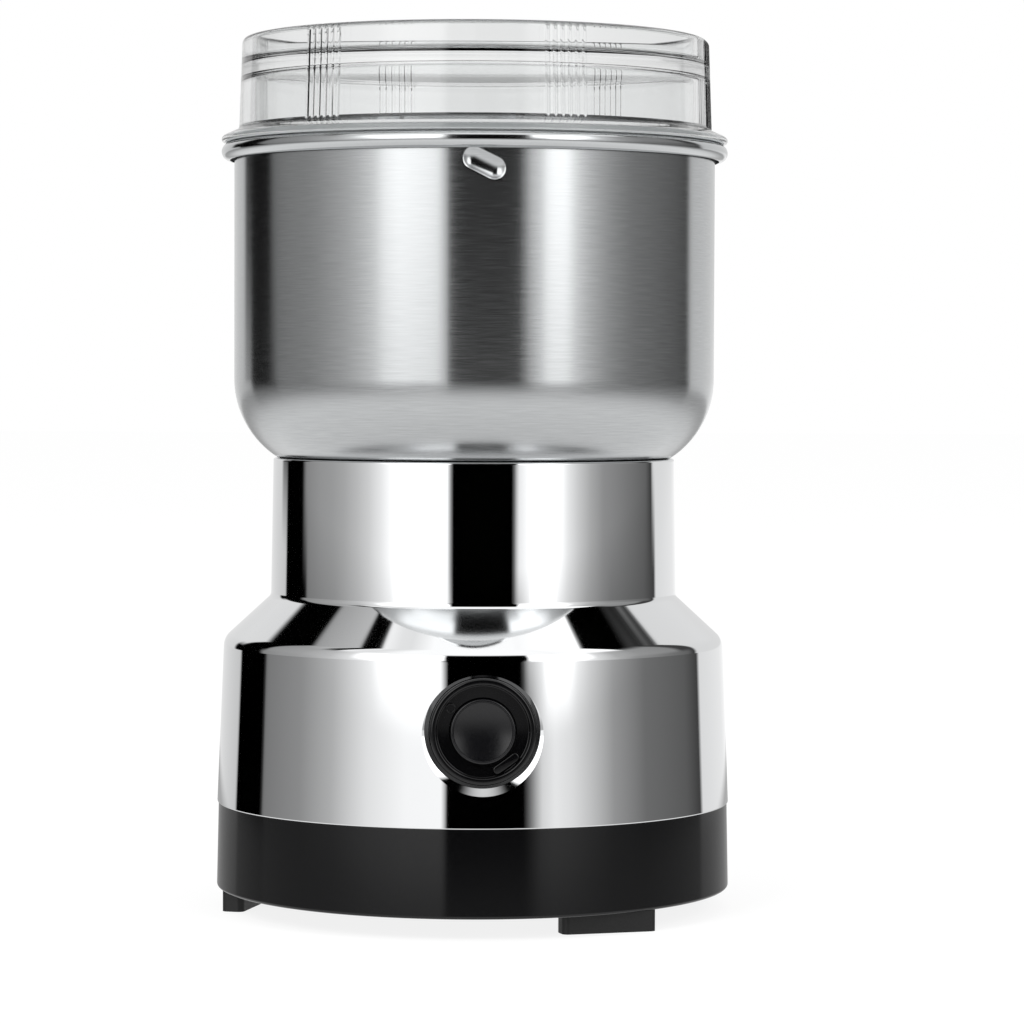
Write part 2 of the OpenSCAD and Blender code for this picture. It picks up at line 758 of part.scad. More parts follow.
module button_bezel() {
    color("#17171a") to_front() {
        difference() {
            rotate_extrude() difference() {
                union() {
                    soft_outline([[0, boss_y], [bezel_r, boss_y], [bezel_r, bezel_front], [0, bezel_front]],
                        [0, 0, 0.6, 0]);
                    translate([0, boss_y - bezel_flange_t]) square([bezel_flange_r, bezel_flange_t]);
                    translate([0, switch_y]) square([button_flange_r + 1.6, boss_y - switch_y]);
                }
                translate([0, bezel_floor]) square([bezel_rim_r, 3]);
                translate([0, switch_y - 1]) square([button_r + slip, 20]);
                translate([0, switch_y - 1]) square([button_flange_r + slip, stop_y - switch_y + 1]);
            }
        }
        bezel_marks();
    }
}

// A ring mark and a small pad stand on the surround's floor
module bezel_marks() {
    mark_r = 7.4;
    translate([-mark_r * cos(36), mark_r * sin(36), bezel_floor - eps]) tube(0.7, 0.95, 0, 0.25);
    rotate([0, 0, -54]) translate([mark_r, 0, bezel_floor - eps]) linear_extrude(0.5)
        soft_rect(1.7, 5.6, 0.8);
}

module push_button() {
    color("#1d1d20") to_front() rotate_extrude() difference() {
        union() {
            soft_outline([[0, stop_y - slip], [button_r, stop_y - slip], [button_r, button_front],
                [0, button_front]], [0, 0, 0.7, 0]);
            translate([0, stop_y - button_flange_t - seat_gap])
                square([button_flange_r, button_flange_t]);
        }
        difference() {
            translate([0, stop_y - 3]) square([cap_hollow_r, cap_hollow_y - stop_y + 3]);
            translate([0, plunger_tip + seat_gap]) square([1.8, 20]);
        }
    }
}

module button_spring() {
    low = switch_y + seat_gap;
    color("#8f9296") to_front() translate([0, 0, low])
        coil_spring(spring_mid_r, spring_wire, cap_hollow_y - low - seat_gap, 5);
}

module switch_body() {
    color("#3a3c40") to_front() difference() {
        union() {
            translate([-switch_w / 2, -switch_h / 2, switch_y - switch_d])
                cube([switch_w, switch_h, switch_d]);
            for (x = [-6.5, 0, 6.5]) translate([x - 0.4, -1.6, switch_y - switch_d - 2])
                cube([0.8, 3.2, 2.5]);
        }
        translate([0, 0, switch_y - switch_d + 1.6]) cylinder(r = plunger_r + slip, h = switch_d);
    }
}

module switch_plunger() {
    color("#c23b2e") to_front() translate([0, 0, plunger_tip - plunger_l])
        cylinder(r = plunger_r, h = plunger_l);
}

// The bush that the cord enters through: its bore runs out to the back
module cord_gland() {
    color("#18181a") translate([0, base_r - base_draft, gland_z]) rotate([90, 0, 0]) difference() {
        union() {
            cylinder(r = gland_flange_r, h = 1.2);
            cylinder(r = gland_r, h = gland_l);
            translate([0, 0, base_r - base_draft - gland_pad_y + slide_gap])
                cylinder(r1 = gland_r + 0.9, r2 = gland_r, h = 1.5);
        }
        translate([0, 0, -1]) cylinder(r = gland_bore_r, h = gland_l + 2);
    }
}

module motor_shaft() {
    color("#a9abad") rotate_extrude() {
        translate([0, shaft_low]) square([shaft_r, spacer_z + spacer_h - shaft_low]);
        translate([0, spacer_z]) square([thread_r, shaft_top - spacer_z]);
    }
}

module armature_core() {
    color("#85888c") difference() {
        translate([0, 0, stack_z]) cylinder(r = rotor_r, h = stack_h);
        translate([0, 0, stack_z - 1]) cylinder(r = shaft_r + eps, h = stack_h + 2);
        around(slot_count) {
            translate([slot_at, 0, stack_z - 1]) cylinder(r = slot_r, h = stack_h + 2, $fn = 24);
            translate([slot_at, -0.7, stack_z - 1]) cube([5, 1.4, stack_h + 2]);
        }
    }
}

// Copper in the slots, with a domed bundle at each end of the core
module armature_windings() {
    bundle_r = rotor_r - 1.4;
    bundle_in_r = shaft_r + 0.8;
    color("#a9512a") {
        around(slot_count) translate([slot_at, 0, stack_z - 1])
            cylinder(r = slot_r - 0.3, h = stack_h + 2, $fn = 24);
        rotate_extrude() for (low = [stack_z - wind_h, stack_top + eps])
            soft_outline([[bundle_in_r, low], [bundle_r, low], [bundle_r, low + wind_h],
                [bundle_in_r, low + wind_h]], [1.5, 2.2, 2.2, 1.5]);
    }
}

module commutator() {
    color("#b8763f") difference() {
        tube(shaft_r + eps, comm_r, comm_z, comm_h);
        around(comm_bars) translate([comm_r - 0.7, -0.2, comm_z - 1]) cube([2, 0.4, comm_h + 2]);
    }
}

// A disc with straight blades under it draws air in through the base
module cooling_fan() {
    color("#e2ddd0") difference() {
        union() {
            translate([0, 0, fan_z + fan_h - 1.6]) cylinder(r = fan_r, h = 1.6);
            translate([0, 0, fan_z]) cylinder(r = shaft_r + 3, h = fan_h);
            around(fan_blades) translate([shaft_r + 2, 0, fan_z]) rotate([0, 0, 24])
                cube([fan_r - shaft_r - 4, 1.3, fan_h - 1]);
        }
        translate([0, 0, fan_z - 1]) cylinder(r = shaft_r + eps, h = fan_h + 2);
    }
}

module blade_spacer() {
    color("#b9bcc0") difference() {
        translate([0, 0, spacer_z]) cylinder(r = 6, h = spacer_h);
        translate([0, 0, spacer_z - 1]) cylinder(r = shaft_r + eps, h = spacer_h + 2);
    }
}

// A stamped blade: a flat middle and two bent arms, each ground to an edge on one side
module blade_plan() {
    half = blade_w / 2;
    soft_outline([[bend_at, -half], [blade_r, -half + edge_taper], [blade_r, tip_back], [bend_at, half],
        [-bend_at, half], [-blade_r, half - edge_taper], [-blade_r, -tip_back], [-bend_at, -half]],
        [0, 2, 2, 0, 0, 2, 2, 0]);
}

module blade(z, turn, bend) {
    arm = blade_r - bend_at;
    rise = arm * tan(bend);
    arm_t = blade_t / cos(bend);
    translate([0, 0, z]) rotate([0, 0, turn]) difference() {
        intersection() {
            translate([0, blade_w, 0]) rotate([90, 0, 0]) linear_extrude(2 * blade_w)
                polygon([[-blade_r - 1, rise + tan(bend)], [-bend_at, 0], [bend_at, 0],
                    [blade_r + 1, rise + tan(bend)], [blade_r + 1, rise + tan(bend) + arm_t],
                    [bend_at, blade_t], [-bend_at, blade_t], [-blade_r - 1, rise + tan(bend) + arm_t]]);
            translate([0, 0, -abs(rise) - blade_t]) linear_extrude(2 * abs(rise) + 3 * blade_t) blade_plan();
        }
        translate([0, 0, -1]) cylinder(r = thread_r + eps, h = blade_t + 2);
        for (a = [0, 180]) rotate([0, 0, a]) translate([bend_at, -blade_w / 2, edge_land])
            rotate([0, -bend, atan(edge_taper / arm)]) rotate([-edge_lean, 0, 0])
            translate([edge_start, -3 * blade_t, -blade_t]) cube([arm * 2, 3 * blade_t, 5 * blade_t]);
    }
}

module lower_blade() {
    color("#c6c9cc") blade(blade_z, 70, -blade_dip);
}

module upper_blade() {
    color("#d0d3d6") blade(blade_z + blade_t, -20, blade_rise);
}

module blade_nut() {
    low = blade_z + 2 * blade_t;
    color("#c8cacc") difference() {
        union() {
            translate([0, 0, low]) cylinder(r = nut_r, h = nut_h - 2, $fn = 6);
            translate([0, 0, low + nut_h - 2]) intersection() {
                sphere(nut_r - 0.7);
                cylinder(r = nut_r, h = nut_r);
            }
        }
        translate([0, 0, low - 1]) cylinder(r = thread_r + eps, h = shaft_top - low + 1.1);
    }
}

module lid_seal() {
    color("#d9dbdc") tube(seal_in_r, seal_out_r, bead_z + 0.1, seal_top - slide_gap - bead_z - 0.1);
}

// The lid's outline: skirt, flange, wall, and a top plate set down in it
module lid_outline() {
    wall_top_r = lid_r - lid_draft;
    plate_z = lid_z - lid_dish;
    difference() {
        soft_outline([[0, flange_z], [bead_out_r, flange_z], [bead_out_r, flange_z + 0.9],
            [lid_r + 0.3, flange_z + lid_flange_t], [lid_r, flange_z + lid_flange_t + 0.6],
            [wall_top_r, lid_z], [0, lid_z]], [0, 0.3, 0.8, 0.3, 0, lid_edge, 0]);
        soft_outline([[0, plate_z], [lid_bore_r - 0.2, plate_z], [lid_bore_r + 0.2, lid_z + 1],
            [0, lid_z + 1]], [0, 0.8, 0, 0]);
        soft_outline([[0, flange_z - 1], [lid_bore_r, flange_z - 1], [lid_bore_r, plate_z - lid_plate_t],
            [0, plate_z - lid_plate_t]], [0, 0, 1.2, 0]);
        translate([seal_in_r - slide_gap, flange_z - 1])
            square([seal_out_r - seal_in_r + 2 * slide_gap, seal_top - flange_z + 1]);
    }
    translate([lid_bore_r, flange_z - skirt_l]) soft_outline([[0, 0], [skirt_r - lid_bore_r, 0],
        [skirt_r - lid_bore_r, skirt_l + eps], [0, skirt_l + eps]], [0.3, 0.5, 0, 0]);
}

// One upright grip rib that leans with the wall, rooted in the flange
module grip_rib() {
    foot = flange_z + lid_flange_t;
    lean = atan(lid_draft / (lid_z - foot));
    translate([lid_r + grip_proud - grip_rib_r, 0, foot]) rotate([0, -lean, 0])
        translate([0, 0, -0.7]) cylinder(r = grip_rib_r, h = lid_z - lid_edge - foot + 0.3, $fn = 16);
}

module lid() {
    color("#e8eef0", 0.45) {
        rotate_extrude($fn = 180) lid_outline();
        around(grip_count, grip_turn - 90) for (i = [0:grip_ribs - 1])
            rotate([0, 0, (i - (grip_ribs - 1) / 2) * grip_pitch]) grip_rib();
        for (i = [0:dent_n - 1])
            ring_sector(lug_inner_r, lug_r, lug_top - lug_h, lug_h,
                -90 + dent_turn + i * 360 / dent_n - lid_turn - lug_span / 2, lug_span);
    }
}

base_cover();
feet();
base_screws();
housing();
bowl();
bowl_hub();
hub_nut();
hub_gasket();
shaft_seal();
motor_upper_bracket();
motor_lower_bracket();
upper_bearing();
lower_bearing();
stator_core();
field_coils();
motor_bolts();
motor_dampers();
damper_screws();
brush_holders();
carbon_brushes();
brush_springs();
button_bezel();
switch_body();
cord_gland();
motor_shaft();
armature_core();
armature_windings();
commutator();
cooling_fan();
blade_spacer();
lower_blade();
upper_blade();
blade_nut();
push_button();
button_spring();
switch_plunger();
lid_seal();
lid();
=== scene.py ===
"""Looks of the electric grain grinder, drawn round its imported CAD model.

The frame is the CAD one: +Z up, the push button towards -Y, the origin on the table under the
bowl's axis. Sizes and outlines are in millimetres, and MM turns them into Blender's metres. Only
the camera, the lamps and the floor are placed in metres.
"""
import math

import bmesh
import bpy
from mathutils import Matrix, Vector


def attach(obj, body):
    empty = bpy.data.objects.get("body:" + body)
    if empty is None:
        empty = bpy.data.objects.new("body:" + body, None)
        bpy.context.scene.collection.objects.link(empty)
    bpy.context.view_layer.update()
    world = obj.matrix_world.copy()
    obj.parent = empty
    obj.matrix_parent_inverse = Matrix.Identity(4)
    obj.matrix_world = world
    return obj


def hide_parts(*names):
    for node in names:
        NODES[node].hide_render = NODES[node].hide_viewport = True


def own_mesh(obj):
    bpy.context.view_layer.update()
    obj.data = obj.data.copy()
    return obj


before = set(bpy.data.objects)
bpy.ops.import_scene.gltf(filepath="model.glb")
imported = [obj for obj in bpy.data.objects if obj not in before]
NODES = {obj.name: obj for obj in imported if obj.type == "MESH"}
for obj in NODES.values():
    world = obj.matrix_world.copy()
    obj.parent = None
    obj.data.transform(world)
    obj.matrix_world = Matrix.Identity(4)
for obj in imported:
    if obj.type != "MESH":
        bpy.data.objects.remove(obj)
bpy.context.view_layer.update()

MM = 0.001
TAU = 2 * math.pi
# Millimetres below this count as nothing
TINY = 1e-6

# The camera's place and aim, fitted to the photograph's outline
CAMERA_BACK = 0.738706
CAMERA_UP = 0.105421
CAMERA_TURN = math.radians(2.13)
CAMERA_YAW = math.radians(0.58956) + CAMERA_TURN
CAMERA_PITCH = math.radians(-2.11767)
CAMERA_ROLL = math.radians(0.20152)
FOCAL_PX = 3721.35
PHOTO_PX = 1024
SENSOR_MM = 36
CLIP_NEAR, CLIP_FAR = 0.05, 30


def place_camera():
    """Stands the camera where the photograph was taken from."""
    ahead = Vector((math.sin(CAMERA_YAW) * math.cos(CAMERA_PITCH),
                    math.cos(CAMERA_YAW) * math.cos(CAMERA_PITCH),
                    math.sin(CAMERA_PITCH)))
    level = Vector((math.cos(CAMERA_YAW), -math.sin(CAMERA_YAW), 0))
    upward = level.cross(ahead)
    right = level * math.cos(CAMERA_ROLL) + upward * math.sin(CAMERA_ROLL)
    top = upward * math.cos(CAMERA_ROLL) - level * math.sin(CAMERA_ROLL)
    spot = Vector((-CAMERA_BACK * math.sin(CAMERA_TURN), -CAMERA_BACK * math.cos(CAMERA_TURN), CAMERA_UP))
    lens = bpy.data.cameras.new("camera")
    lens.sensor_width = SENSOR_MM
    lens.lens = FOCAL_PX / PHOTO_PX * SENSOR_MM
    lens.clip_start = CLIP_NEAR
    lens.clip_end = CLIP_FAR
    eye = bpy.data.objects.new("camera", lens)
    eye.matrix_world = Matrix(((right.x, top.x, -ahead.x, spot.x),
                               (right.y, top.y, -ahead.y, spot.y),
                               (right.z, top.z, -ahead.z, spot.z),
                               (0, 0, 0, 1)))
    bpy.context.scene.collection.objects.link(eye)
    bpy.context.scene.camera = eye


# Outlines
def softened(corners, rounds, steps=8):
    """A closed outline of (radius, height) with its own round on each corner, in millimetres."""
    out = []
    for i, (corner, r) in enumerate(zip(corners, rounds)):
        p = Vector(corner)
        if r <= 0:
            out.append((p.x, p.y))
            continue
        before = (Vector(corners[i - 1]) - p).normalized()
        after = (Vector(corners[(i + 1) % len(corners)]) - p).normalized()
        half = math.acos(max(-1, min(1, before.dot(after)))) / 2
        middle = p + (before + after).normalized() * (r / math.sin(half))
        # The points where the round meets the two sides, seen from its middle
        start = p + before * (r / math.tan(half)) - middle
        end = p + after * (r / math.tan(half)) - middle
        sweep = math.atan2(start.x * end.y - start.y * end.x, start.dot(end))
        for k in range(steps + 1):
            turn = sweep * k / steps
            out.append((middle.x + start.x * math.cos(turn) - start.y * math.sin(turn),
                        middle.y + start.x * math.sin(turn) + start.y * math.cos(turn)))
    return out


def arc(middle_r, middle_z, r, from_deg, to_deg, steps):
    """Points on an arc of an outline, in millimetres."""
    turns = [math.radians(from_deg + (to_deg - from_deg) * k / steps) for k in range(steps + 1)]
    return [(middle_r + r * math.cos(a), middle_z + r * math.sin(a)) for a in turns]


def divided(outline, low, high, step):
    """The closed outline with its straight stretches between two heights cut to short steps."""
    out = []
    for i, (r0, z0) in enumerate(outline):
        out.append((r0, z0))
        r1, z1 = outline[(i + 1) % len(outline)]
        if abs(z1 - z0) < step or max(z0, z1) < low or min(z0, z1) > high:
            continue
        start, end = max(low, min(high, z0)), max(low, min(high, z1))
        cuts = max(2, math.ceil(abs(end - start) / step))
        for k in range(cuts + 1):
            z = start + (end - start) * k / cuts
            if min(abs(z - z0), abs(z - z1)) > TINY:
                out.append((r0 + (r1 - r0) * (z - z0) / (z1 - z0), z))
    return out


def even_turns(count):
    """Angles all round, in radians."""
    return [TAU * k / count for k in range(count)]


def off_middle(degrees, middle):
    """How far an angle lies from a middle, from -180 to 180 degrees."""
    return (degrees - middle + 180) % 360 - 180


def turns_with_detail(count, middles, half_deg, step_deg):
    """Angles all round, in radians, with finer steps about some middles in degrees."""
    marks = {round(360 * k / count, 4) for k in range(count)}
    for middle in middles:
        marks = {m for m in marks if abs(off_middle(m, middle)) > half_deg}
        for k in range(round(2 * half_deg / step_deg) + 1):
            marks.add(round((middle - half_deg + k * step_deg) % 360, 4))
    return [math.radians(m) for m in sorted(marks)]


# Meshes
def piece(name, mesh, body, *replaced):
    """Puts a mesh in the scene as a piece that rides on a body and stands for CAD nodes."""
    made = bpy.data.objects.new(name, mesh)
    bpy.context.scene.collection.objects.link(made)
    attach(made, body)
    if replaced:
        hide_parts(*replaced)
    return made


def smoothed(mesh, sharp_deg=32):
    """Smooth faces, with crisp edges where they meet at more than sharp_deg."""
    for face in mesh.polygons:
        face.use_smooth = True
    mesh.set_sharp_from_angle(angle=math.radians(sharp_deg))
    return mesh


def lathe(name, outline, turns, shape=None):
    """Turns a closed outline round the Z axis. shape(radius, angle, height) may move a point."""
    form = bmesh.new()
    rings = []
    for r, z in outline:
        if r < TINY:
            rings.append([form.verts.new((0, 0, z * MM))] * len(turns))
            continue
        ring = []
        for a in turns:
            r2, z2 = shape(r, a, z) if shape else (r, z)
            ring.append(form.verts.new((r2 * math.cos(a) * MM, r2 * math.sin(a) * MM, z2 * MM)))
        rings.append(ring)
    for i, ring in enumerate(rings):
        other = rings[(i + 1) % len(rings)]
        if ring[0] is ring[-1] and other[0] is other[-1]:
            continue
        for k in range(len(turns)):
            n = (k + 1) % len(turns)
            corners = [ring[k], ring[n], other[n], other[k]]
            # On the axis two corners are the same point
            corners = [v for j, v in enumerate(corners) if v not in corners[:j]]
            form.faces.new(corners)
    bmesh.ops.recalc_face_normals(form, faces=form.faces)
    mesh = bpy.data.meshes.new(name)
    form.to_mesh(mesh)
    form.free()
    return mesh


def to_front(mesh, height_mm):
    """Turns a mesh that was made about Z so that it faces -Y at that height."""
    mesh.transform(Matrix.Translation((0, 0, height_mm * MM)) @ Matrix.Rotation(math.pi / 2, 4, "X"))
    return mesh


def prism(outline, low, high):
    """An upright prism over an outline in millimetres, as a bmesh."""
    form = bmesh.new()
    bottom = [form.verts.new((x * MM, y * MM, low * MM)) for x, y in outline]
    top = [form.verts.new((x * MM, y * MM, high * MM)) for x, y in outline]
    form.faces.new(bottom[::-1])
    form.faces.new(top)
    for k in range(len(outline)):
        n = (k + 1) % len(outline)
        form.faces.new((bottom[k], bottom[n], top[n], top[k]))
    bmesh.ops.recalc_face_normals(form, faces=form.faces)
    return form


def disc(r, count):
    """The outline of a round disc."""
    return [(r * math.cos(a), r * math.sin(a)) for a in even_turns(count)]


def set_out(form, reach, turn_deg):
    """Moves a bmesh out from the axis, then turns it round the axis."""
    turn = Matrix.Rotation(math.radians(turn_deg), 4, "Z")
    form.transform(turn @ Matrix.Translation((reach * MM, 0, 0)))
    return form


def joined(name, forms):
    """One mesh out of several bmeshes, which are freed."""
    whole = bpy.data.meshes.new(name)
    total = bmesh.new()
    for form in forms:
        part = bpy.data.meshes.new("part")
        form.to_mesh(part)
        total.from_mesh(part)
        bpy.data.meshes.remove(part)
        form.free()
    total.to_mesh(whole)
    total.free()
    return whole


def carved(mesh, tool):
    """The mesh with another one cut out of it."""
    body = bpy.data.objects.new("body", mesh)
    cutter = bpy.data.objects.new("cutter", tool)
    for o in (body, cutter):
        bpy.context.scene.collection.objects.link(o)
    cut = body.modifiers.new("cut", "BOOLEAN")
    cut.operation = "DIFFERENCE"
    cut.solver = "EXACT"
    cut.object = cutter
    bpy.context.view_layer.update()
    result = bpy.data.meshes.new_from_object(body.evaluated_get(bpy.context.evaluated_depsgraph_get()))
    for o in (body, cutter):
        bpy.data.objects.remove(o)
    return result


# How many millimetres a face's middle and its corners may lie off the surface that they follow
MIDDLE_SLACK, CORNER_SLACK = 2.0, 0.02


def true_normals(mesh, surfaces, within_deg=20):
    """Gives the corners of faces on known surfaces their exact normals. Each surface is a function
    of a point that returns its normal there, or None away from it."""
    limit = math.cos(math.radians(within_deg))
    # A normal of no length leaves a corner as it is
    given = [Vector((0, 0, 0))] * len(mesh.loops)
    for face in mesh.polygons:
        for surface in surfaces:
            at_middle = surface(face.center, MIDDLE_SLACK * MM)
            if at_middle is None or at_middle.dot(face.normal) < limit:
                continue
            points = [mesh.vertices[mesh.loops[i].vertex_index].co for i in face.loop_indices]
            exact = [surface(point, CORNER_SLACK * MM) for point in points]
            if all(n is not None for n in exact):
                for i, n in zip(face.loop_indices, exact):
                    given[i] = n
                break
    mesh.normals_split_custom_set([tuple(n) for n in given])


def tapered_wall(foot, top, low_round, high_round):
    """The normals of a round wall that narrows from one (radius, height) to another, apart from
    the rounds at its ends."""
    (foot_r, foot_z), (top_r, top_z) = foot, top
    lean = math.atan((foot_r - top_r) / (top_z - foot_z))

    def normal(p, slack):
        r = math.hypot(p.x, p.y)
        wall_r = foot_r - (foot_r - top_r) * (p.z / MM - foot_z) / (top_z - foot_z)
        if abs(r - wall_r * MM) > slack or not (foot_z + low_round) * MM < p.z < (top_z - high_round) * MM:
            return None
        return Vector((p.x / r * math.cos(lean), p.y / r * math.cos(lean), math.sin(lean)))

    return normal


# Materials
def colour(hex_code):
    """An sRGB hex value as linear numbers."""
    out = []
    for k in (0, 2, 4):
        c = int(hex_code[k:k + 2], 16) / 255
        out.append(c / 12.92 if c <= 0.04045 else ((c + 0.055) / 1.055) ** 2.4)
    return (*out, 1.0)


def grey(level):
    """A linear grey."""
    return (level, level, level, 1.0)


def node(tree, kind, inputs=None, stops=None, **settings):
    """Adds a node. An input's value is a number, a colour, or the output that it is linked to."""
    made = tree.nodes.new(kind)
    for name, value in settings.items():
        setattr(made, name, value)
    for name, value in (inputs or {}).items():
        if isinstance(value, bpy.types.NodeSocket):
            tree.links.new(value, made.inputs[name])
        else:
            made.inputs[name].default_value = value
    if stops:
        band = made.color_ramp
        while len(band.elements) > 1:
            band.elements.remove(band.elements[0])
        band.elements[0].position = stops[0][0]
        band.elements[0].color = stops[0][1]
        for place, tone in stops[1:]:
            band.elements.new(place).color = tone
    return made


def maths(tree, operation, *values):
    """One step of arithmetic on numbers or outputs."""
    return node(tree, "ShaderNodeMath", dict(enumerate(values)), operation=operation).outputs[0]


def mixed(tree, share, none, full):
    """One colour at a share of 0 and another at 1."""
    return node(tree, "ShaderNodeMix", {"Factor": share, "A": none, "B": full},
                data_type="RGBA").outputs["Result"]


def mapped(tree, value, start, end, least=0.0, most=1.0, **settings):
    """A value from start to end, stretched to run from least to most."""
    return node(tree, "ShaderNodeMapRange", {"Value": value, "From Min": start, "From Max": end,
                                             "To Min": least, "To Max": most}, **settings).outputs["Result"]


def uneven(tree, pattern, middle, share, start=0.3, end=0.7):
    """A value that a pattern varies by a share of it either way."""
    return mapped(tree, pattern, start, end, middle * (1 - share), middle * (1 + share))


def object_place(tree):
    """The point that is shaded, in metres in its object's own frame."""
    return node(tree, "ShaderNodeTexCoord").outputs["Object"]


def patches(tree, place, per_metre, detail, **more):
    """Soft irregular patches, so many to a metre, as a number about 0.5."""
    return node(tree, "ShaderNodeTexNoise", {"Vector": place, "Scale": per_metre, "Detail": detail,
                                             **more}).outputs["Fac"]


def relief(tree, height, strength, depth_mm):
    """A surface that follows a pattern's height."""
    return node(tree, "ShaderNodeBump", {"Height": height, "Strength": strength,
                                         "Distance": depth_mm * MM}).outputs["Normal"]


def material(name):
    """A new material: its node tree and its surface shader."""
    made = bpy.data.materials.new(name)
    made.use_nodes = True
    return made, made.node_tree, made.node_tree.nodes["Principled BSDF"]


def set_all(shader, **values):
    """Sets constants on a shader's own sockets. An underscore stands for a space."""
    for name, value in values.items():
        shader.inputs[name.replace("_", " ")].default_value = value


def link_all(tree, shader, **outputs):
    """Links outputs to a shader's sockets. An underscore stands for a space."""
    for name, output in outputs.items():
        tree.links.new(output, shader.inputs[name.replace("_", " ")])


def chrome_plate():
    """Bright chrome plated over moulded plastic: a clean mirror, with the slow waviness of the
    moulding under it and a faint haze where hands have wiped it."""
    made, tree, shader = material("bright_chrome_plate")
    set_all(shader, Metallic=1.0, Base_Color=colour("f2f3f4"))
    place = object_place(tree)
    haze = patches(tree, place, per_metre=45.0, detail=3.0)
    wave = patches(tree, place, per_metre=28.0, detail=1.0)
    link_all(tree, shader,
             Roughness=mapped(tree, haze, 0.35, 0.7, least=0.025, most=0.05),
             Normal=relief(tree, wave, strength=0.04, depth_mm=0.6))
    return made


# A turn of one radian counts as this many metres in the pattern of the brushed lines. That is far
# less than the wall's own length, so the pattern's grains are drawn out to lines round the axis.
RADIAN_OF_LINES = 0.0015


def brushed_steel(name, tones, roughness, spread, line_mm, depth_mm):
    """Stainless steel brushed round its axis on a lathe: fine level lines that spread the
    reflections up and down, the more the larger spread is. Real lines are about 0.05 mm apart
    and are drawn as coarse as they need to be to show."""
    made, tree, shader = material(name)
    set_all(shader, Metallic=1.0, Anisotropic=spread, Anisotropic_Rotation=0.25)
    parts = node(tree, "ShaderNodeSeparateXYZ", {"Vector": object_place(tree)})
    turn = maths(tree, "ARCTAN2", parts.outputs["Y"], parts.outputs["X"])
    run = maths(tree, "MULTIPLY", turn, RADIAN_OF_LINES)
    lines_at = node(tree, "ShaderNodeCombineXYZ", {"X": run, "Z": parts.outputs["Z"]})
    lines = patches(tree, lines_at.outputs[0], per_metre=1 / (line_mm * MM), detail=4.0, Roughness=0.65)
    link_all(tree, shader,
             Base_Color=mixed(tree, lines, colour(tones[0]), colour(tones[1])),
             Roughness=uneven(tree, lines, roughness, 0.15),
             Normal=relief(tree, lines, strength=0.5, depth_mm=depth_mm),
             Tangent=node(tree, "ShaderNodeTangent", direction_type="RADIAL", axis="Z").outputs["Tangent"])
    return made


def moulded(name, dark, light, roughness, grain_mm, depth_mm, ior=1.5):
    """Moulded plastic or rubber: one colour with a faint cloudiness, and a fine skin from the
    mould's surface."""
    made, tree, shader = material(name)
    set_all(shader, IOR=ior)
    place = object_place(tree)
    cloud = patches(tree, place, per_metre=60.0, detail=2.0)
    skin = patches(tree, place, per_metre=1 / (grain_mm * MM), detail=2.0)
    link_all(tree, shader,
             Base_Color=mixed(tree, cloud, colour(dark), colour(light)),
             Roughness=uneven(tree, skin, roughness, 0.2),
             Normal=relief(tree, skin, strength=0.4, depth_mm=depth_mm))
    return made


def clear_acrylic():
    """Clear moulded acrylic: water-clear with a faint grey cast, and as smooth and even as its
    polished mould."""
    made, _, shader = material("clear_lid_acrylic")
    set_all(shader, IOR=1.49, Transmission_Weight=1.0, Roughness=0.0, Base_Color=colour("f7f8f8"))
    return made


def plain_metal(name, dark, light, roughness, grain_mm=0.6):
    """A cut, stamped or drawn metal part: its own colour with a fine directionless grain."""
    made, tree, shader = material(name)
    set_all(shader, Metallic=1.0)
    grain = patches(tree, object_place(tree), per_metre=1 / (grain_mm * MM), detail=3.0)
    link_all(tree, shader,
             Base_Color=mixed(tree, grain, colour(dark), colour(light)),
             Roughness=uneven(tree, grain, roughness, 0.3, start=0.0, end=1.0))
    return made


# The wave texture draws this many bands for each unit of its scale
BANDS_PER_SCALE = 20


def banded(name, dark, light, roughness, metallic, pitch_mm, wound=False):
    """Stacked sheets or wound wire: thin bands, level for the stacked core, slanting and a little
    uneven for the coils."""
    made, tree, shader = material(name)
    set_all(shader, Metallic=metallic, Roughness=roughness)
    wave = node(tree, "ShaderNodeTexWave",
                {"Vector": object_place(tree), "Scale": 1 / (pitch_mm * MM * BANDS_PER_SCALE),
                 "Distortion": 0.6 if wound else 0.0, "Detail": 1.0},
                bands_direction="DIAGONAL" if wound else "Z").outputs["Fac"]
    link_all(tree, shader,
             Base_Color=mixed(tree, wave, colour(dark), colour(light)),
             Normal=relief(tree, wave, strength=0.6, depth_mm=pitch_mm / 4))
    return made


# Chrome over moulded ABS: a clean mirror that takes all its tone from the studio
CHROME = chrome_plate()
# Stainless sheet brushed on a lathe: soft upright bands of light, with fine lines across them
BOWL_STEEL = brushed_steel("brushed_bowl_steel", ("b3b5b6", "d3d5d6"),
                           roughness=0.19, spread=0.75, line_mm=0.2, depth_mm=0.0015)
# The same sheet, smoothed by the curling tool: a thin sharp glint along the rim
RIM_STEEL = plain_metal("polished_rim_steel", "c9cbcc", "d4d6d7", roughness=0.12, grain_mm=0.3)
# Turned steel: coarser tool lines that fan the light out
TURNED_STEEL = brushed_steel("turned_hub_steel", ("c4c6c8", "e6e7e8"),
                             roughness=0.2, spread=1.0, line_mm=0.3, depth_mm=0.004)
# Gloss ABS of the base and the surround: deep black under clear reflections
BLACK_ABS = moulded("black_abs", "060607", "0a0a0b",
                    roughness=0.08, grain_mm=0.5, depth_mm=0.0005, ior=1.45)
# Satin ABS of the cap: black, its reflections blurred by the mould's fine grain
BUTTON_ABS = moulded("button_abs", "060607", "101013", roughness=0.22, grain_mm=0.35, depth_mm=0.002)
# Moulded rubber of the feet: dull black without a glint
RUBBER = moulded("foot_rubber", "050505", "0c0c0c", roughness=0.5, grain_mm=0.3, depth_mm=0.004)
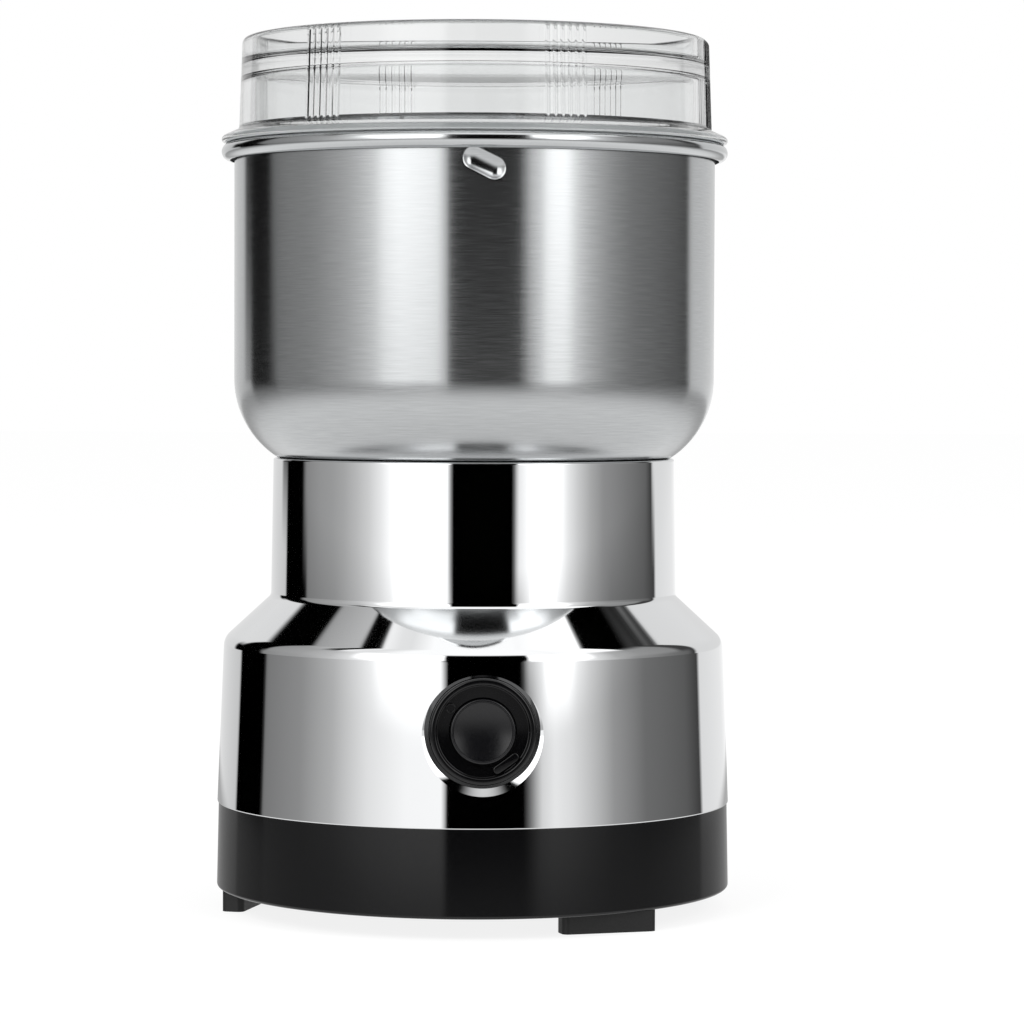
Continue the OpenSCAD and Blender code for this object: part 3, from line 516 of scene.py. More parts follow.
# Softer moulded rubber of the seals and dampers: a shade lighter, with a dusty sheen
SEAL_RUBBER = moulded("seal_rubber", "0a0a0b", "131314", roughness=0.45, grain_mm=0.3, depth_mm=0.003)
# Moulded nylon of the switch and the lower bracket: dark grey and dry
SWITCH_PLASTIC = moulded("switch_nylon", "17181a", "222326", roughness=0.4, grain_mm=0.3, depth_mm=0.003)
# Undyed moulded nylon of the fan: warm ivory
FAN_NYLON = moulded("fan_nylon", "cfc9b4", "ddd8c6", roughness=0.42, grain_mm=0.3, depth_mm=0.003)
# Dyed moulded nylon of the plunger: plain red
RED_NYLON = moulded("plunger_nylon", "9c2a22", "b23a30", roughness=0.4, grain_mm=0.3, depth_mm=0.002)
# Pressed carbon of the brushes: sooty, with a sandy grain
CARBON = moulded("pressed_carbon", "101011", "1c1c1e", roughness=0.6, grain_mm=0.2, depth_mm=0.004)
# Moulded acrylic of the lid: clear, and seen mostly by its bright and dark edges
LID_PLASTIC = clear_acrylic()
# Moulded silicone of the lid's seal: milky
SILICONE = moulded("milky_silicone", "c3c7c9", "d6d9da", roughness=0.35, grain_mm=0.4, depth_mm=0.002)
# Stamped and ground stainless sheet of the blades: bright, with a fine scatter
BLADE_STEEL = plain_metal("ground_blade_steel", "c2c5c8", "dcdedf", roughness=0.22, grain_mm=0.4)
# Zinc plated sheet and screws: grey and a little cloudy
ZINC = plain_metal("zinc_plate", "8f9498", "b4b8bb", roughness=0.32)
# Drawn wire of the springs and ground steel of the shaft: a darker grey
SPRING_STEEL = plain_metal("spring_steel", "84878a", "a6a9ac", roughness=0.28)
# Sintered bronze of the bearings and brush holders: dull and brown
BRONZE = plain_metal("sintered_bronze", "8a6a3c", "b08d55", roughness=0.4)
# Stacked steel sheet of the motor's cores: thin level lines
CORE = banded("core_sheets", "4b4e52", "8c9094", roughness=0.42, metallic=1.0, pitch_mm=0.5)
# Varnished copper wire of the coils: reddish brown in close bands
COPPER = banded("varnished_wire", "6e2a12", "c06a3a",
                roughness=0.35, metallic=0.6, pitch_mm=0.5, wound=True)

# Sizes and places in millimetres, shared by the pieces
# Heights at which the base, drum, shoulder and neck begin, and at which the neck ends
BASE_Z, DRUM_Z, SHOULDER_Z, NECK_Z, RIM_Z = 4.1, 20.9, 53.2, 61.7, 88.85
# Heights of the bowl's underside, its rim's top, the underside of the lid's flange, the lid's top
FLOOR_Z, BEAD_Z, FLANGE_Z, LID_Z = 86.05, 150.7, 151.05, 171.35
# Radii of the base, the drum and the neck, each at its foot and at its top
BASE_R, BASE_TOP_R = 50.8, 50.45
DRUM_R, DRUM_TOP_R = 50.72, 49.42
NECK_R, NECK_TOP_R = 40.15, 39.7
# The housing's inside: the foot of its wall, the edge of the shoulder, and the neck
FOOT_IN_R, SHOULDER_IN_R, SHOULDER_IN_Z = 48.52, 47.22, 51.9
NECK_IN_R, NECK_IN_TOP_R, NECK_IN_Z = 37.95, 37.5, 60.4
# The bowl's seat in the housing: the middle and radius of its arc, the deck's underside below it,
# and the hole for the hub
SEAT_MID_R, SEAT_MID_Z, SEAT_R = 29.05, 104.45, 18.55
DECK_Z, HUB_HOLE_R = 83.25, 7.8
# The button's hole, and the ring of wall that is dished in round it: its width beside the button,
# how much wider it is below and narrower above, and its slope
BUTTON_Z, HOLE_R, HOLE_BACK, HOLE_FRONT = 39.1, 10.1, 40, DRUM_R + 3
DISHED_W, DISHED_SINK, DISHED_SLOPE = 1.2, 0.78, math.tan(math.radians(26))
# The radius of the dish in the button's face, and the ends of its return spring
FACE_R, SPRING_SEAT, SPRING_FRONT = 21.0, 41.87, 48.49
# The pressed bowl: its sheet, wall, the round and hole of its floor, and its curled rim
SHEET, BOWL_R, BOWL_IN_R, BOWL_ROUND, BOWL_HOLE_R = 0.8, 47.45, 46.65, 18.4, 7.65
BEAD_R, BEAD_MID_R = 1.65, 48.3
# The direction of the front, in degrees round the axis
FRONT = -90.0
# The dents: a round-ended tool presses them in, lying on a slope. Only points between these
# heights and radii are moved.
DENT_MIDDLES = [FRONT + 120 * k for k in range(3)]
DENT_Z, DENT_AXIS_R, DENT_TOOL_R, DENT_HALF, DENT_SLOPE = 144.5, 49.4, 2.8, 2.25, math.radians(25)
DENT_BLEND, DENT_LOW, DENT_HIGH, DENT_LEAST_R, DENT_MOST_R = 0.25, 138, 148.4, 46, 47.6
# The lid: its skirt and the foot of its wall, the ribs of its grips, and the lugs that lock under
# the dents. A rib is the outer part of a round bar. It fades out towards its end, a little below
# the lid's top. The ribs' pitch and half a lug's width are in degrees.
SKIRT_R, WALL_LOW_Z = 45.1, 153.95
GRIP_MIDDLES = [FRONT + 19.5 + 60 * k for k in range(6)]
GRIP_RIBS, GRIP_PITCH, GRIP_R, GRIP_PROUD, GRIP_FADE, GRIP_END = 6, 1.85, 0.5, 0.28, 0.8, 0.35
LUG_MIDDLES = [FRONT - 25 + 120 * k for k in range(3)]
LUG_LOW, LUG_HIGH, LUG_R, LUG_HALF = 138.95, 140.97, 46.25, 4.5
# The base: its floor, the ring that enters the housing, the air slots, screws and cord bush
BASE_FLOOR_Z, BASE_IN_R, RING_R, RING_Z = 6.3, 46.77, 48.37, 23.9
VENTS, VENT_LENGTH, VENT_WIDTH, VENT_ROUND, VENT_MID_R = 16, 13, 2.4, 1.19, 24
SCREWS, SCREW_MID_R, SCREW_HOLE_R = 3, 42.4, 3.2
GLAND_Z, GLAND_R, GLAND_SEAT, CORD_HOLE_R = 13.1, 6.05, 49.2, 4.65


# Housing
def wall_reach(x, z):
    """How far in front of the axis the drum's wall stands."""
    r = DRUM_R - (DRUM_R - DRUM_TOP_R) * (z - DRUM_Z) / (SHOULDER_Z - DRUM_Z)
    return math.sqrt(r * r - x * x)


def dished_width(a):
    """Width of the ring of wall that is dished in round the button: widest below it."""
    return DISHED_W - DISHED_SINK * math.sin(a)


def dished_reach(x, z):
    """The same wall, dished in towards the button's hole."""
    r, a = math.hypot(x, z - BUTTON_Z), math.atan2(z - BUTTON_Z, x)
    return wall_reach(x, z) - DISHED_SLOPE * (HOLE_R + dished_width(a) - r)


def hole_shape(r, a, h):
    """Lays the marked points of the hole's cutter on the dished ring, and leaves its ends flat."""
    if r < HOLE_R or h < HOLE_BACK + 1:
        return r, h
    r = HOLE_R + (r - HOLE_R) * dished_width(a)
    return r, h if h > DRUM_R + 1 else dished_reach(r * math.cos(a), BUTTON_Z + r * math.sin(a))


def dished_normal(p, slack):
    """The normals of the dished ring, taken a touch past both its edges."""
    past_inner, past_outer, near = 0.1, 0.02, 0.01
    x, z = p.x / MM, p.z / MM
    r = math.hypot(x, z - BUTTON_Z)
    outer_r = HOLE_R + dished_width(math.atan2(z - BUTTON_Z, x))
    if not HOLE_R - past_inner < r < outer_r + past_outer or p.y > 0:
        return None
    if abs(-p.y - dished_reach(x, z) * MM) > slack:
        return None
    across = (dished_reach(x + near, z) - dished_reach(x - near, z)) / (2 * near)
    upward = (dished_reach(x, z + near) - dished_reach(x, z - near)) / (2 * near)
    return Vector((-across, -1, -upward)).normalized()


def housing_mesh():
    """The plated housing: drum, shoulder and neck, the bowl's seat, and the button's hole with the
    wall dished in round it."""
    top_angle = math.asin((RIM_Z - SEAT_MID_Z) / SEAT_R)
    outside = softened([(FOOT_IN_R, DRUM_Z), (DRUM_R, DRUM_Z), (DRUM_TOP_R, SHOULDER_Z), (NECK_R, NECK_Z),
                        (NECK_TOP_R, RIM_Z), (SEAT_MID_R + SEAT_R * math.cos(top_angle), RIM_Z)],
                       [0, 0.25, 3.5, 1.6, 0.5, 0.12], steps=12)
    seat = arc(SEAT_MID_R, SEAT_MID_Z, SEAT_R, math.degrees(top_angle), -90, steps=16)[1:]
    hub_hole = [(SEAT_MID_R, FLOOR_Z), (HUB_HOLE_R, FLOOR_Z), (HUB_HOLE_R, DECK_Z)]
    inside = [(NECK_IN_TOP_R, DECK_Z), (NECK_IN_R, NECK_IN_Z), (SHOULDER_IN_R, SHOULDER_IN_Z)]
    body = lathe("housing", outside + seat + hub_hole + inside, even_turns(360))
    # The cutter's points on the wall are marked by their share of the dished ring's width
    shares = (0, 0.2, 0.4, 0.6, 0.8, 1, 1.2)
    dished = [(HOLE_R + share, DRUM_R) for share in shares]
    back = [(0, HOLE_BACK), (HOLE_R, HOLE_BACK)]
    front = [(HOLE_R + shares[-1], HOLE_FRONT), (0, HOLE_FRONT)]
    cutter = lathe("hole", back + dished + front, even_turns(240), hole_shape)
    shell = smoothed(carved(body, to_front(cutter, BUTTON_Z)))
    drum_normal = tapered_wall((DRUM_R, DRUM_Z), (DRUM_TOP_R, SHOULDER_Z), low_round=0.2, high_round=1.2)
    true_normals(shell, [dished_normal, drum_normal])
    return shell


# Bowl
def pressed_reach(a, z, tool_r):
    """How far from the axis a press tool of that radius leaves the wall, or None beside it."""
    for middle in DENT_MIDDLES:
        x = DENT_AXIS_R * math.radians(off_middle(math.degrees(a), middle))
        h = z - DENT_Z
        along = x * math.cos(DENT_SLOPE) - h * math.sin(DENT_SLOPE)
        across = x * math.sin(DENT_SLOPE) + h * math.cos(DENT_SLOPE)
        past = max(0.0, abs(along) - DENT_HALF)
        reach = tool_r ** 2 - across ** 2 - past ** 2
        if reach > 0:
            return DENT_AXIS_R - math.sqrt(reach)
    return None


def soft_min(a, b, blend):
    """The smaller of two numbers, with a soft change from one to the other."""
    h = max(0.0, min(1.0, 0.5 + 0.5 * (b - a) / blend))
    return b * (1 - h) + a * h - blend * h * (1 - h)


def bowl_shape(r, a, z):
    """Presses the three dents into the wall, through to its inside."""
    if not DENT_LOW < z < DENT_HIGH or not DENT_LEAST_R < r < DENT_MOST_R:
        return r, z
    outer = r > (BOWL_R + BOWL_IN_R) / 2
    pressed = pressed_reach(a, z, DENT_TOOL_R if outer else DENT_TOOL_R + SHEET)
    return r if pressed is None else soft_min(r, pressed, DENT_BLEND), z


def bowl_mesh():
    """The pressed bowl up to its rim."""
    round_mid = (BOWL_R - BOWL_ROUND, FLOOR_Z + BOWL_ROUND)
    outside = [(BOWL_HOLE_R, FLOOR_Z)] + arc(*round_mid, BOWL_ROUND, -90, 0, steps=40)
    top = [(BOWL_R, BEAD_Z - BEAD_R), (BOWL_IN_R, BEAD_Z - BEAD_R)]
    inside = arc(*round_mid, BOWL_ROUND - SHEET, 0, -90, steps=32)
    outline = outside + top + inside + [(BOWL_HOLE_R, FLOOR_Z + SHEET)]
    outline = divided(outline, low=139.6, high=148.5, step=0.16)
    turns = turns_with_detail(300, DENT_MIDDLES, half_deg=8, step_deg=0.2)
    return smoothed(lathe("bowl", outline, turns, bowl_shape))


def rim_mesh():
    """The bowl's rim, curled outward and round to an open edge."""
    inner = arc(BEAD_MID_R, BEAD_Z - BEAD_R, BEAD_R - SHEET, 180, -90, steps=20)
    outer = arc(BEAD_MID_R, BEAD_Z - BEAD_R, BEAD_R, -90, 180, steps=36)
    return smoothed(lathe("rim", inner + outer, even_turns(360)))


# Lid
def grip_rise(degrees, r, z):
    """How far a grip rib stands out of the lid's wall there."""
    for middle in GRIP_MIDDLES:
        off = off_middle(degrees, middle)
        if abs(off) > GRIP_RIBS * GRIP_PITCH:
            continue
        ribs = [(k - (GRIP_RIBS - 1) / 2) * GRIP_PITCH for k in range(GRIP_RIBS)]
        x = math.radians(min((off - rib for rib in ribs), key=abs)) * r
        if abs(x) < GRIP_R:
            rise = max(0.0, math.sqrt(GRIP_R ** 2 - x ** 2) - (GRIP_R - GRIP_PROUD))
            return rise * min(1.0, (LID_Z - GRIP_END - z) / GRIP_FADE)
    return 0.0


def lid_shape(r, a, z):
    """Raises the grip ribs on the lid's wall and the locking lugs on its skirt."""
    degrees = math.degrees(a)
    if WALL_LOW_Z - 0.05 < z < LID_Z - GRIP_END and r > SKIRT_R + 0.3:
        return r + grip_rise(degrees, r, z), z
    if LUG_LOW < z < LUG_HIGH and abs(r - SKIRT_R) < 0.3:
        if any(abs(off_middle(degrees, middle)) < LUG_HALF for middle in LUG_MIDDLES):
            return LUG_R, z
    return r, z


def lid_mesh():
    """The clear lid: skirt, flange with the seal's groove, wall with grip ribs, and a top plate set
    down in it."""
    skirt_low, skirt_in_r, plate_low, plate_top = FLANGE_Z - 13, 43.3, 163.75, 166.05
    groove_in_r, groove_r, groove_top, flange_r, flange_top = 47.32, 49.18, 151.85, 49.95, 151.95
    slope_r, slope_top, wall_r, wall_top_r, dish_r, plate_r = 46.8, 153.35, 46.5, 45.88, 43.15, 43.1
    outline = softened(
        [(0, plate_low), (skirt_in_r, plate_low), (skirt_in_r, skirt_low), (SKIRT_R, skirt_low),
         (SKIRT_R, FLANGE_Z), (groove_in_r, FLANGE_Z), (groove_in_r, groove_top), (groove_r, groove_top),
         (groove_r, FLANGE_Z), (flange_r, FLANGE_Z), (flange_r, flange_top), (slope_r, slope_top),
         (wall_r, WALL_LOW_Z), (wall_top_r, LID_Z), (dish_r, LID_Z), (plate_r, plate_top), (0, plate_top)],
        [0, 1.2, 0.3, 0.5, 0.15, 0.1, 0.1, 0.1, 0.1, 0.3, 0.8, 0.3, 0, 1.1, 0.25, 1.2, 0])
    outline = divided(outline, low=154.0, high=170.2, step=1.4)
    # Rows of points just below and above the lugs' edges, so that they end sharply
    lug_rows = [(SKIRT_R, z + side) for z in (LUG_LOW, LUG_HIGH) for side in (-0.01, 0.01)]
    above = next(i for i, (r, z) in enumerate(outline) if r > SKIRT_R - 0.1 and z > LUG_HIGH)
    outline = outline[:above] + lug_rows + outline[above:]
    turns = turns_with_detail(360, GRIP_MIDDLES, half_deg=6, step_deg=0.125)
    lug_ends = [middle + side * (LUG_HALF + gap) for middle in LUG_MIDDLES
                for side in (-1, 1) for gap in (-0.02, 0.02)]
    turns = sorted(set(turns) | {math.radians(end % 360) for end in lug_ends})
    return smoothed(lathe("lid", outline, turns, lid_shape))


# Base, button and its surround
def flat_bar(length, width, r, steps=6):
    """The outline of a flat bar with round corners, centred."""
    a, b = length / 2, width / 2
    return softened([(-a, -b), (a, -b), (a, b), (-a, b)], [r] * 4, steps)


def base_mesh():
    """The black base: its wall, the ring that enters the housing, and the floor with air slots and
    screw holes."""
    outline = softened([(0, BASE_Z), (BASE_R, BASE_Z), (BASE_TOP_R, DRUM_Z), (RING_R, DRUM_Z),
                        (RING_R, RING_Z), (BASE_IN_R, RING_Z), (BASE_IN_R, BASE_FLOOR_Z), (0, BASE_FLOOR_Z)],
                       [0, 0.6, 0.15, 0, 0.2, 0.2, 0.6, 0])
    under, over = BASE_Z - 1.1, BASE_FLOOR_Z + 1.7
    vent = flat_bar(VENT_LENGTH, VENT_WIDTH, VENT_ROUND)
    tools = [set_out(prism(vent, under, over), VENT_MID_R, (k + 0.5) * 360 / VENTS) for k in range(VENTS)]
    screw_hole = disc(SCREW_HOLE_R, 40)
    tools += [set_out(prism(screw_hole, under, over), SCREW_MID_R, 360 / SCREWS * k) for k in range(SCREWS)]
    # Two prisms that face the back: the cord's hole, and the wider seat of its bush outside it
    to_back = Matrix.Translation((0, 0, GLAND_Z * MM)) @ Matrix.Rotation(math.pi / 2, 4, "X")
    outside, inside = -60, -40
    cord_hole = prism(disc(CORD_HOLE_R, 64), outside, inside)
    seat = prism(disc(GLAND_R, 64), outside, -GLAND_SEAT)
    for tool in (cord_hole, seat):
        tool.transform(to_back)
    mesh = carved(lathe("base", outline, even_turns(360)), joined("holes", tools + [cord_hole]))
    mesh = smoothed(carved(mesh, joined("seat", [seat])))
    true_normals(mesh, [tapered_wall((BASE_R, BASE_Z), (BASE_TOP_R, DRUM_Z), low_round=0.55, high_round=0.1)])
    return mesh


def screw_posts():
    """The posts that the base's screws stand in."""
    post_r, shank_r, low, seat, top = 4.8, 1.7, 4.6, 7.1, 24.9
    outline = softened([(SCREW_HOLE_R, low), (post_r, low), (post_r, top), (shank_r, top), (shank_r, seat),
                        (SCREW_HOLE_R, seat)], [0.1, 0.1, 0.2, 0.2, 0.1, 0.1], steps=3)
    forms = []
    for k in range(SCREWS):
        form = bmesh.new()
        form.from_mesh(lathe("post", outline, even_turns(40)))
        forms.append(set_out(form, SCREW_MID_R, 360 / SCREWS * k))
    return smoothed(joined("posts", forms))


def surround_mesh():
    """The button's surround: a round black dish with a raised rim, and behind the wall a flange
    and a sleeve that guides the button."""
    rim_r, rim_in_r, cap_hole_r, flange_r, sleeve_r, sleeve_in_r = 9.98, 8.7, 6.2, 11.48, 9.0, 7.5
    rim, dish, collar, flange, flange_back, sleeve = 50.58, 49.28, 45.98, 45.38, 43.78, 41.78
    outline = softened([(flange_r, flange_back), (flange_r, flange), (rim_r, flange), (rim_r, rim),
                        (rim_in_r, rim), (rim_in_r, dish), (cap_hole_r, dish), (cap_hole_r, collar),
                        (sleeve_in_r, collar), (sleeve_in_r, sleeve), (sleeve_r, sleeve),
                        (sleeve_r, flange_back)],
                       [0.1, 0.1, 0.1, 0.6, 0.35, 0.25, 0.2, 0.1, 0.1, 0.1, 0.1, 0.1])
    return smoothed(to_front(lathe("surround", outline, even_turns(200)), BUTTON_Z))


def surround_marks():
    """A ring mark and a small pad on the surround's floor, both plain."""
    floor, ring_r, ring_in_r, ring_top, pad_top, mark_mid_r = 49.2, 0.97, 0.68, 49.52, 49.76, 7.4
    ring_turn, pad_turn = math.radians(144), -54
    outline = softened([(ring_in_r, floor), (ring_r, floor), (ring_r, ring_top), (ring_in_r, ring_top)],
                       [0, 0, 0.1, 0.1], steps=4)
    ring = bmesh.new()
    ring.from_mesh(lathe("ring", outline, even_turns(48)))
    ring.transform(Matrix.Translation((mark_mid_r * math.cos(ring_turn) * MM,
                                       mark_mid_r * math.sin(ring_turn) * MM, 0)))
    pad = prism(flat_bar(length=1.7, width=5.6, r=0.8, steps=8), floor, pad_top)
    half_up = (floor + pad_top) / 2 * MM
    top_edges = [e for e in pad.edges if all(v.co.z > half_up for v in e.verts)]
    bmesh.ops.bevel(pad, geom=top_edges, offset=0.25 * MM, segments=4, affect="EDGES", profile=0.5)
    return smoothed(to_front(joined("marks", [ring, set_out(pad, mark_mid_r, pad_turn)]), BUTTON_Z))


def button_mesh():
    """The push button: a round cap, hollow behind for its spring, whose face is dished inside a
    narrow edge."""
    cap_r, edge_r, face_r, hollow_r = 6.1, 5.6, 5.45, 4.7
    front, face_edge, hollow_front, back = 50.38, 50.1, 48.5, 45.88
    edge = softened([(0, hollow_front), (hollow_r, hollow_front), (hollow_r, back), (cap_r, back),
                     (cap_r, front), (edge_r, front), (face_r, face_edge)], [0, 0, 0.1, 0.1, 0.35, 0.15, 0])
    rise = math.asin(face_r / FACE_R)
    face = arc(0, face_edge + FACE_R * math.cos(rise), FACE_R, -90 + math.degrees(rise), -90, steps=16)
    return smoothed(to_front(lathe("button", edge + face[1:], even_turns(160)), BUTTON_Z))


def spring_mesh():
    """The button's return spring: round wire wound five times, from the switch out to the cap."""
    mid_r, wire_r, turns, steps, sides = 4.0, 0.25, 5, 48, 10
    rings = turns * steps
    rise = (SPRING_FRONT - SPRING_SEAT - 2 * wire_r) / rings
    form = bmesh.new()
    coil = []
    for k in range(rings + 1):
        a = TAU * k / steps
        ring = []
        for side in even_turns(sides):
            r = mid_r + wire_r * math.cos(side)
            z = SPRING_SEAT + wire_r + rise * k + wire_r * math.sin(side)
            ring.append(form.verts.new((r * math.cos(a) * MM, r * math.sin(a) * MM, z * MM)))
        coil.append(ring)
    for ring, after in zip(coil, coil[1:]):
        for j in range(sides):
            n = (j + 1) % sides
            form.faces.new((ring[j], ring[n], after[n], after[j]))
    form.faces.new(coil[0])
    form.faces.new(coil[-1])
    bmesh.ops.recalc_face_normals(form, faces=form.faces)
    return to_front(smoothed(joined("spring", [form])), BUTTON_Z)


# The object
def dress(target, finish):
    """Gives every slot of an object one material."""
    if len(target.material_slots) == 0:
        target.data.materials.append(finish)
    for slot in target.material_slots:
        slot.link = "OBJECT"
        slot.material = finish


def add_pieces():
    """Finely shaped pieces in place of the CAD nodes that show most: for each its mesh, the body
    that it rides on, the nodes that it stands for, its finish and its slot."""
    made = {
        "housing_shell": (housing_mesh(), "grinder", ["housing"], CHROME, "chrome_shell"),
        "pressed_bowl": (bowl_mesh(), "grinder", ["bowl"], BOWL_STEEL, "brushed_bowl"),
        "rolled_rim": (rim_mesh(), "grinder", ["bowl"], RIM_STEEL, "brushed_bowl"),
        "base_shell": (base_mesh(), "grinder", ["base_cover"], BLACK_ABS, "black_gloss"),
        "base_posts": (screw_posts(), "grinder", [], BLACK_ABS, "black_gloss"),
        "button_surround": (surround_mesh(), "grinder", ["button_bezel"], BLACK_ABS, "black_gloss"),
        "surround_marks": (surround_marks(), "grinder", [], BLACK_ABS, "black_gloss"),
        "button_cap": (button_mesh(), "button", ["push_button"], BUTTON_ABS, "black_gloss"),
        "return_spring": (spring_mesh(), "grinder", ["button_spring"], SPRING_STEEL, "spring_steel"),
        "clear_lid": (lid_mesh(), "cover", ["lid"], LID_PLASTIC, "clear_plastic"),
    }
    for name, (mesh, body, replaced, finish, slot) in made.items():
        item = piece(name, mesh, body, *replaced)
        item.data.materials.append(finish)
        if name == "return_spring":
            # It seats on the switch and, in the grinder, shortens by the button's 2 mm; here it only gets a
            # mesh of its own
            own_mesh(item)


# What the CAD nodes that stay are made of
FINISHES = {
    "feet": RUBBER, "base_screws": ZINC, "bowl_hub": TURNED_STEEL, "hub_nut": ZINC,
    "hub_gasket": SEAL_RUBBER, "shaft_seal": SEAL_RUBBER, "motor_upper_bracket": ZINC,
    "motor_lower_bracket": SWITCH_PLASTIC, "upper_bearing": BRONZE, "lower_bearing": BRONZE,
    "stator_core": CORE, "field_coils": COPPER, "motor_bolts": ZINC, "motor_dampers": SEAL_RUBBER,
    "damper_screws": ZINC, "brush_holders": BRONZE, "carbon_brushes": CARBON,
    "brush_springs": SPRING_STEEL, "switch_body": SWITCH_PLASTIC, "cord_gland": SEAL_RUBBER,
    "motor_shaft": SPRING_STEEL, "armature_core": CORE, "armature_windings": COPPER,
    "commutator": BRONZE, "cooling_fan": FAN_NYLON, "blade_spacer": TURNED_STEEL,
    "lower_blade": BLADE_STEEL, "upper_blade": BLADE_STEEL, "blade_nut": TURNED_STEEL,
    "switch_plunger": RED_NYLON, "lid_seal": SILICONE,
}

# Studio
# What stands round the object, by azimuth in degrees from the camera, to the right, and brightness.
# Level with the object: two soft boxes in front with the dark room between them, a black card at
# the left, a thin dark edge at the right, and the pale backdrop behind.
STUDIO_LOW = [(-180, 1.0), (-168, 0.8), (-134, 0.6), (-132.5, 0.0), (-110, 0.0), (-108, 0.2), (-84, 0.28),
              (-66, 0.46), (-48, 0.82), (-30, 1.02), (-13.5, 1.04), (-11.5, 0.0), (23, 0.0), (26, 0.2),
              (31, 0.72), (37, 0.88), (45, 0.78), (66, 0.32), (84, 0.16), (112, 0.11), (124, 0.05),
              (126.5, 0.77), (156, 0.86), (172, 1.0)]
# What the neck and the bowl's wall mirror: the same boxes, brighter at their hearts
STUDIO_WALL = [(-180, 0.8), (-143, 0.7), (-140, 0.0), (-114, 0.0), (-110, 0.25), (-97, 0.32), (-87, 0.35),
               (-78, 0.41), (-69, 0.53), (-61, 0.67), (-53, 0.9), (-47, 1.15), (-42, 1.9), (-35, 2.2),
               (-16, 1.8), (-12, 0.0), (22, 0.0), (25, 0.9), (31, 1.2), (34, 2.2), (43, 2.4), (48, 1.35),
               (54, 0.9), (61, 0.64), (69, 0.43), (78, 0.29), (97, 0.2), (115, 0.13), (121, 0.04),
               (124, 0.74)]
# Above that the boxes end sharply
STUDIO_MID = [(-180, 0.8), (-136, 0.75), (-133, 0.0), (-111, 0.0), (-108, 0.3), (-84, 0.38), (-66, 0.54),
              (-56, 0.8), (-46, 1.9), (-13.5, 2.2), (-11.5, 0.0), (23, 0.0), (25, 2.4), (46, 2.2),
              (56, 0.8), (66, 0.45), (80, 0.32), (106, 0.26), (112, 0.05), (122, 0.05), (124, 0.74),
              (180, 0.8)]
# Over the object: the left card ends in a strip, and the right one is broad
STUDIO_HIGH = [(-180, 0.7), (-130, 0.6), (-127, 0.0), (-111, 0.0), (-108, 0.36), (-85, 0.52), (-83, 0.0),
               (-72, 0.0), (-70, 1.0), (-60, 0.85), (-36, 0.8), (-20, 0.85), (-14, 0.04), (20, 0.04),
               (28, 0.7), (42, 1.1), (80, 1.3), (82, 0.0), (116, 0.0), (118, 0.7), (180, 0.8)]
# How far the boxes and cards lean back over the object, for each unit of height
LEAN = 0.25
# Where each ring takes over from the one below it. Heights are the upward part of a direction.
WALL_FROM, MID_FROM, HIGH_FROM = (-0.02, 0.02), (0.2, 0.35), (0.68, 0.8)
# Where the boxes meet over the dark room: the heights, the azimuths in radians, the brightness
MEET_FROM, MEET_WITHIN, MEET_LEVEL = (0.7, 0.8), (0.9, 0.6), 1.1
# The table, by depth below the level: far off it mirrors the boxes faintly, close by it is white
TABLE_FROM, CLOSE_FROM = (0.092, 0.1), (0.16, 0.3)
FAR_SHARE, FAR_LEVEL = 0.2, 0.25
CLOSE_LEVELS = [(0.2, grey(0.66)), (0.45, grey(0.95)), (1.0, grey(0.8))]
# The even light that matt surfaces get from all round
PLAIN_LEVEL = 0.8
# The clear lid shows mostly the white backdrop, and this share of the studio
THROUGH_SHARE, BACKDROP_LEVEL = 0.35, 0.95


def studio_ring(tree, share, levels):
    """What stands round the object at one height."""
    return node(tree, "ShaderNodeValToRGB", {"Fac": share},
                stops=[(deg / 360 + 0.5, grey(level)) for deg, level in levels]).outputs["Color"]


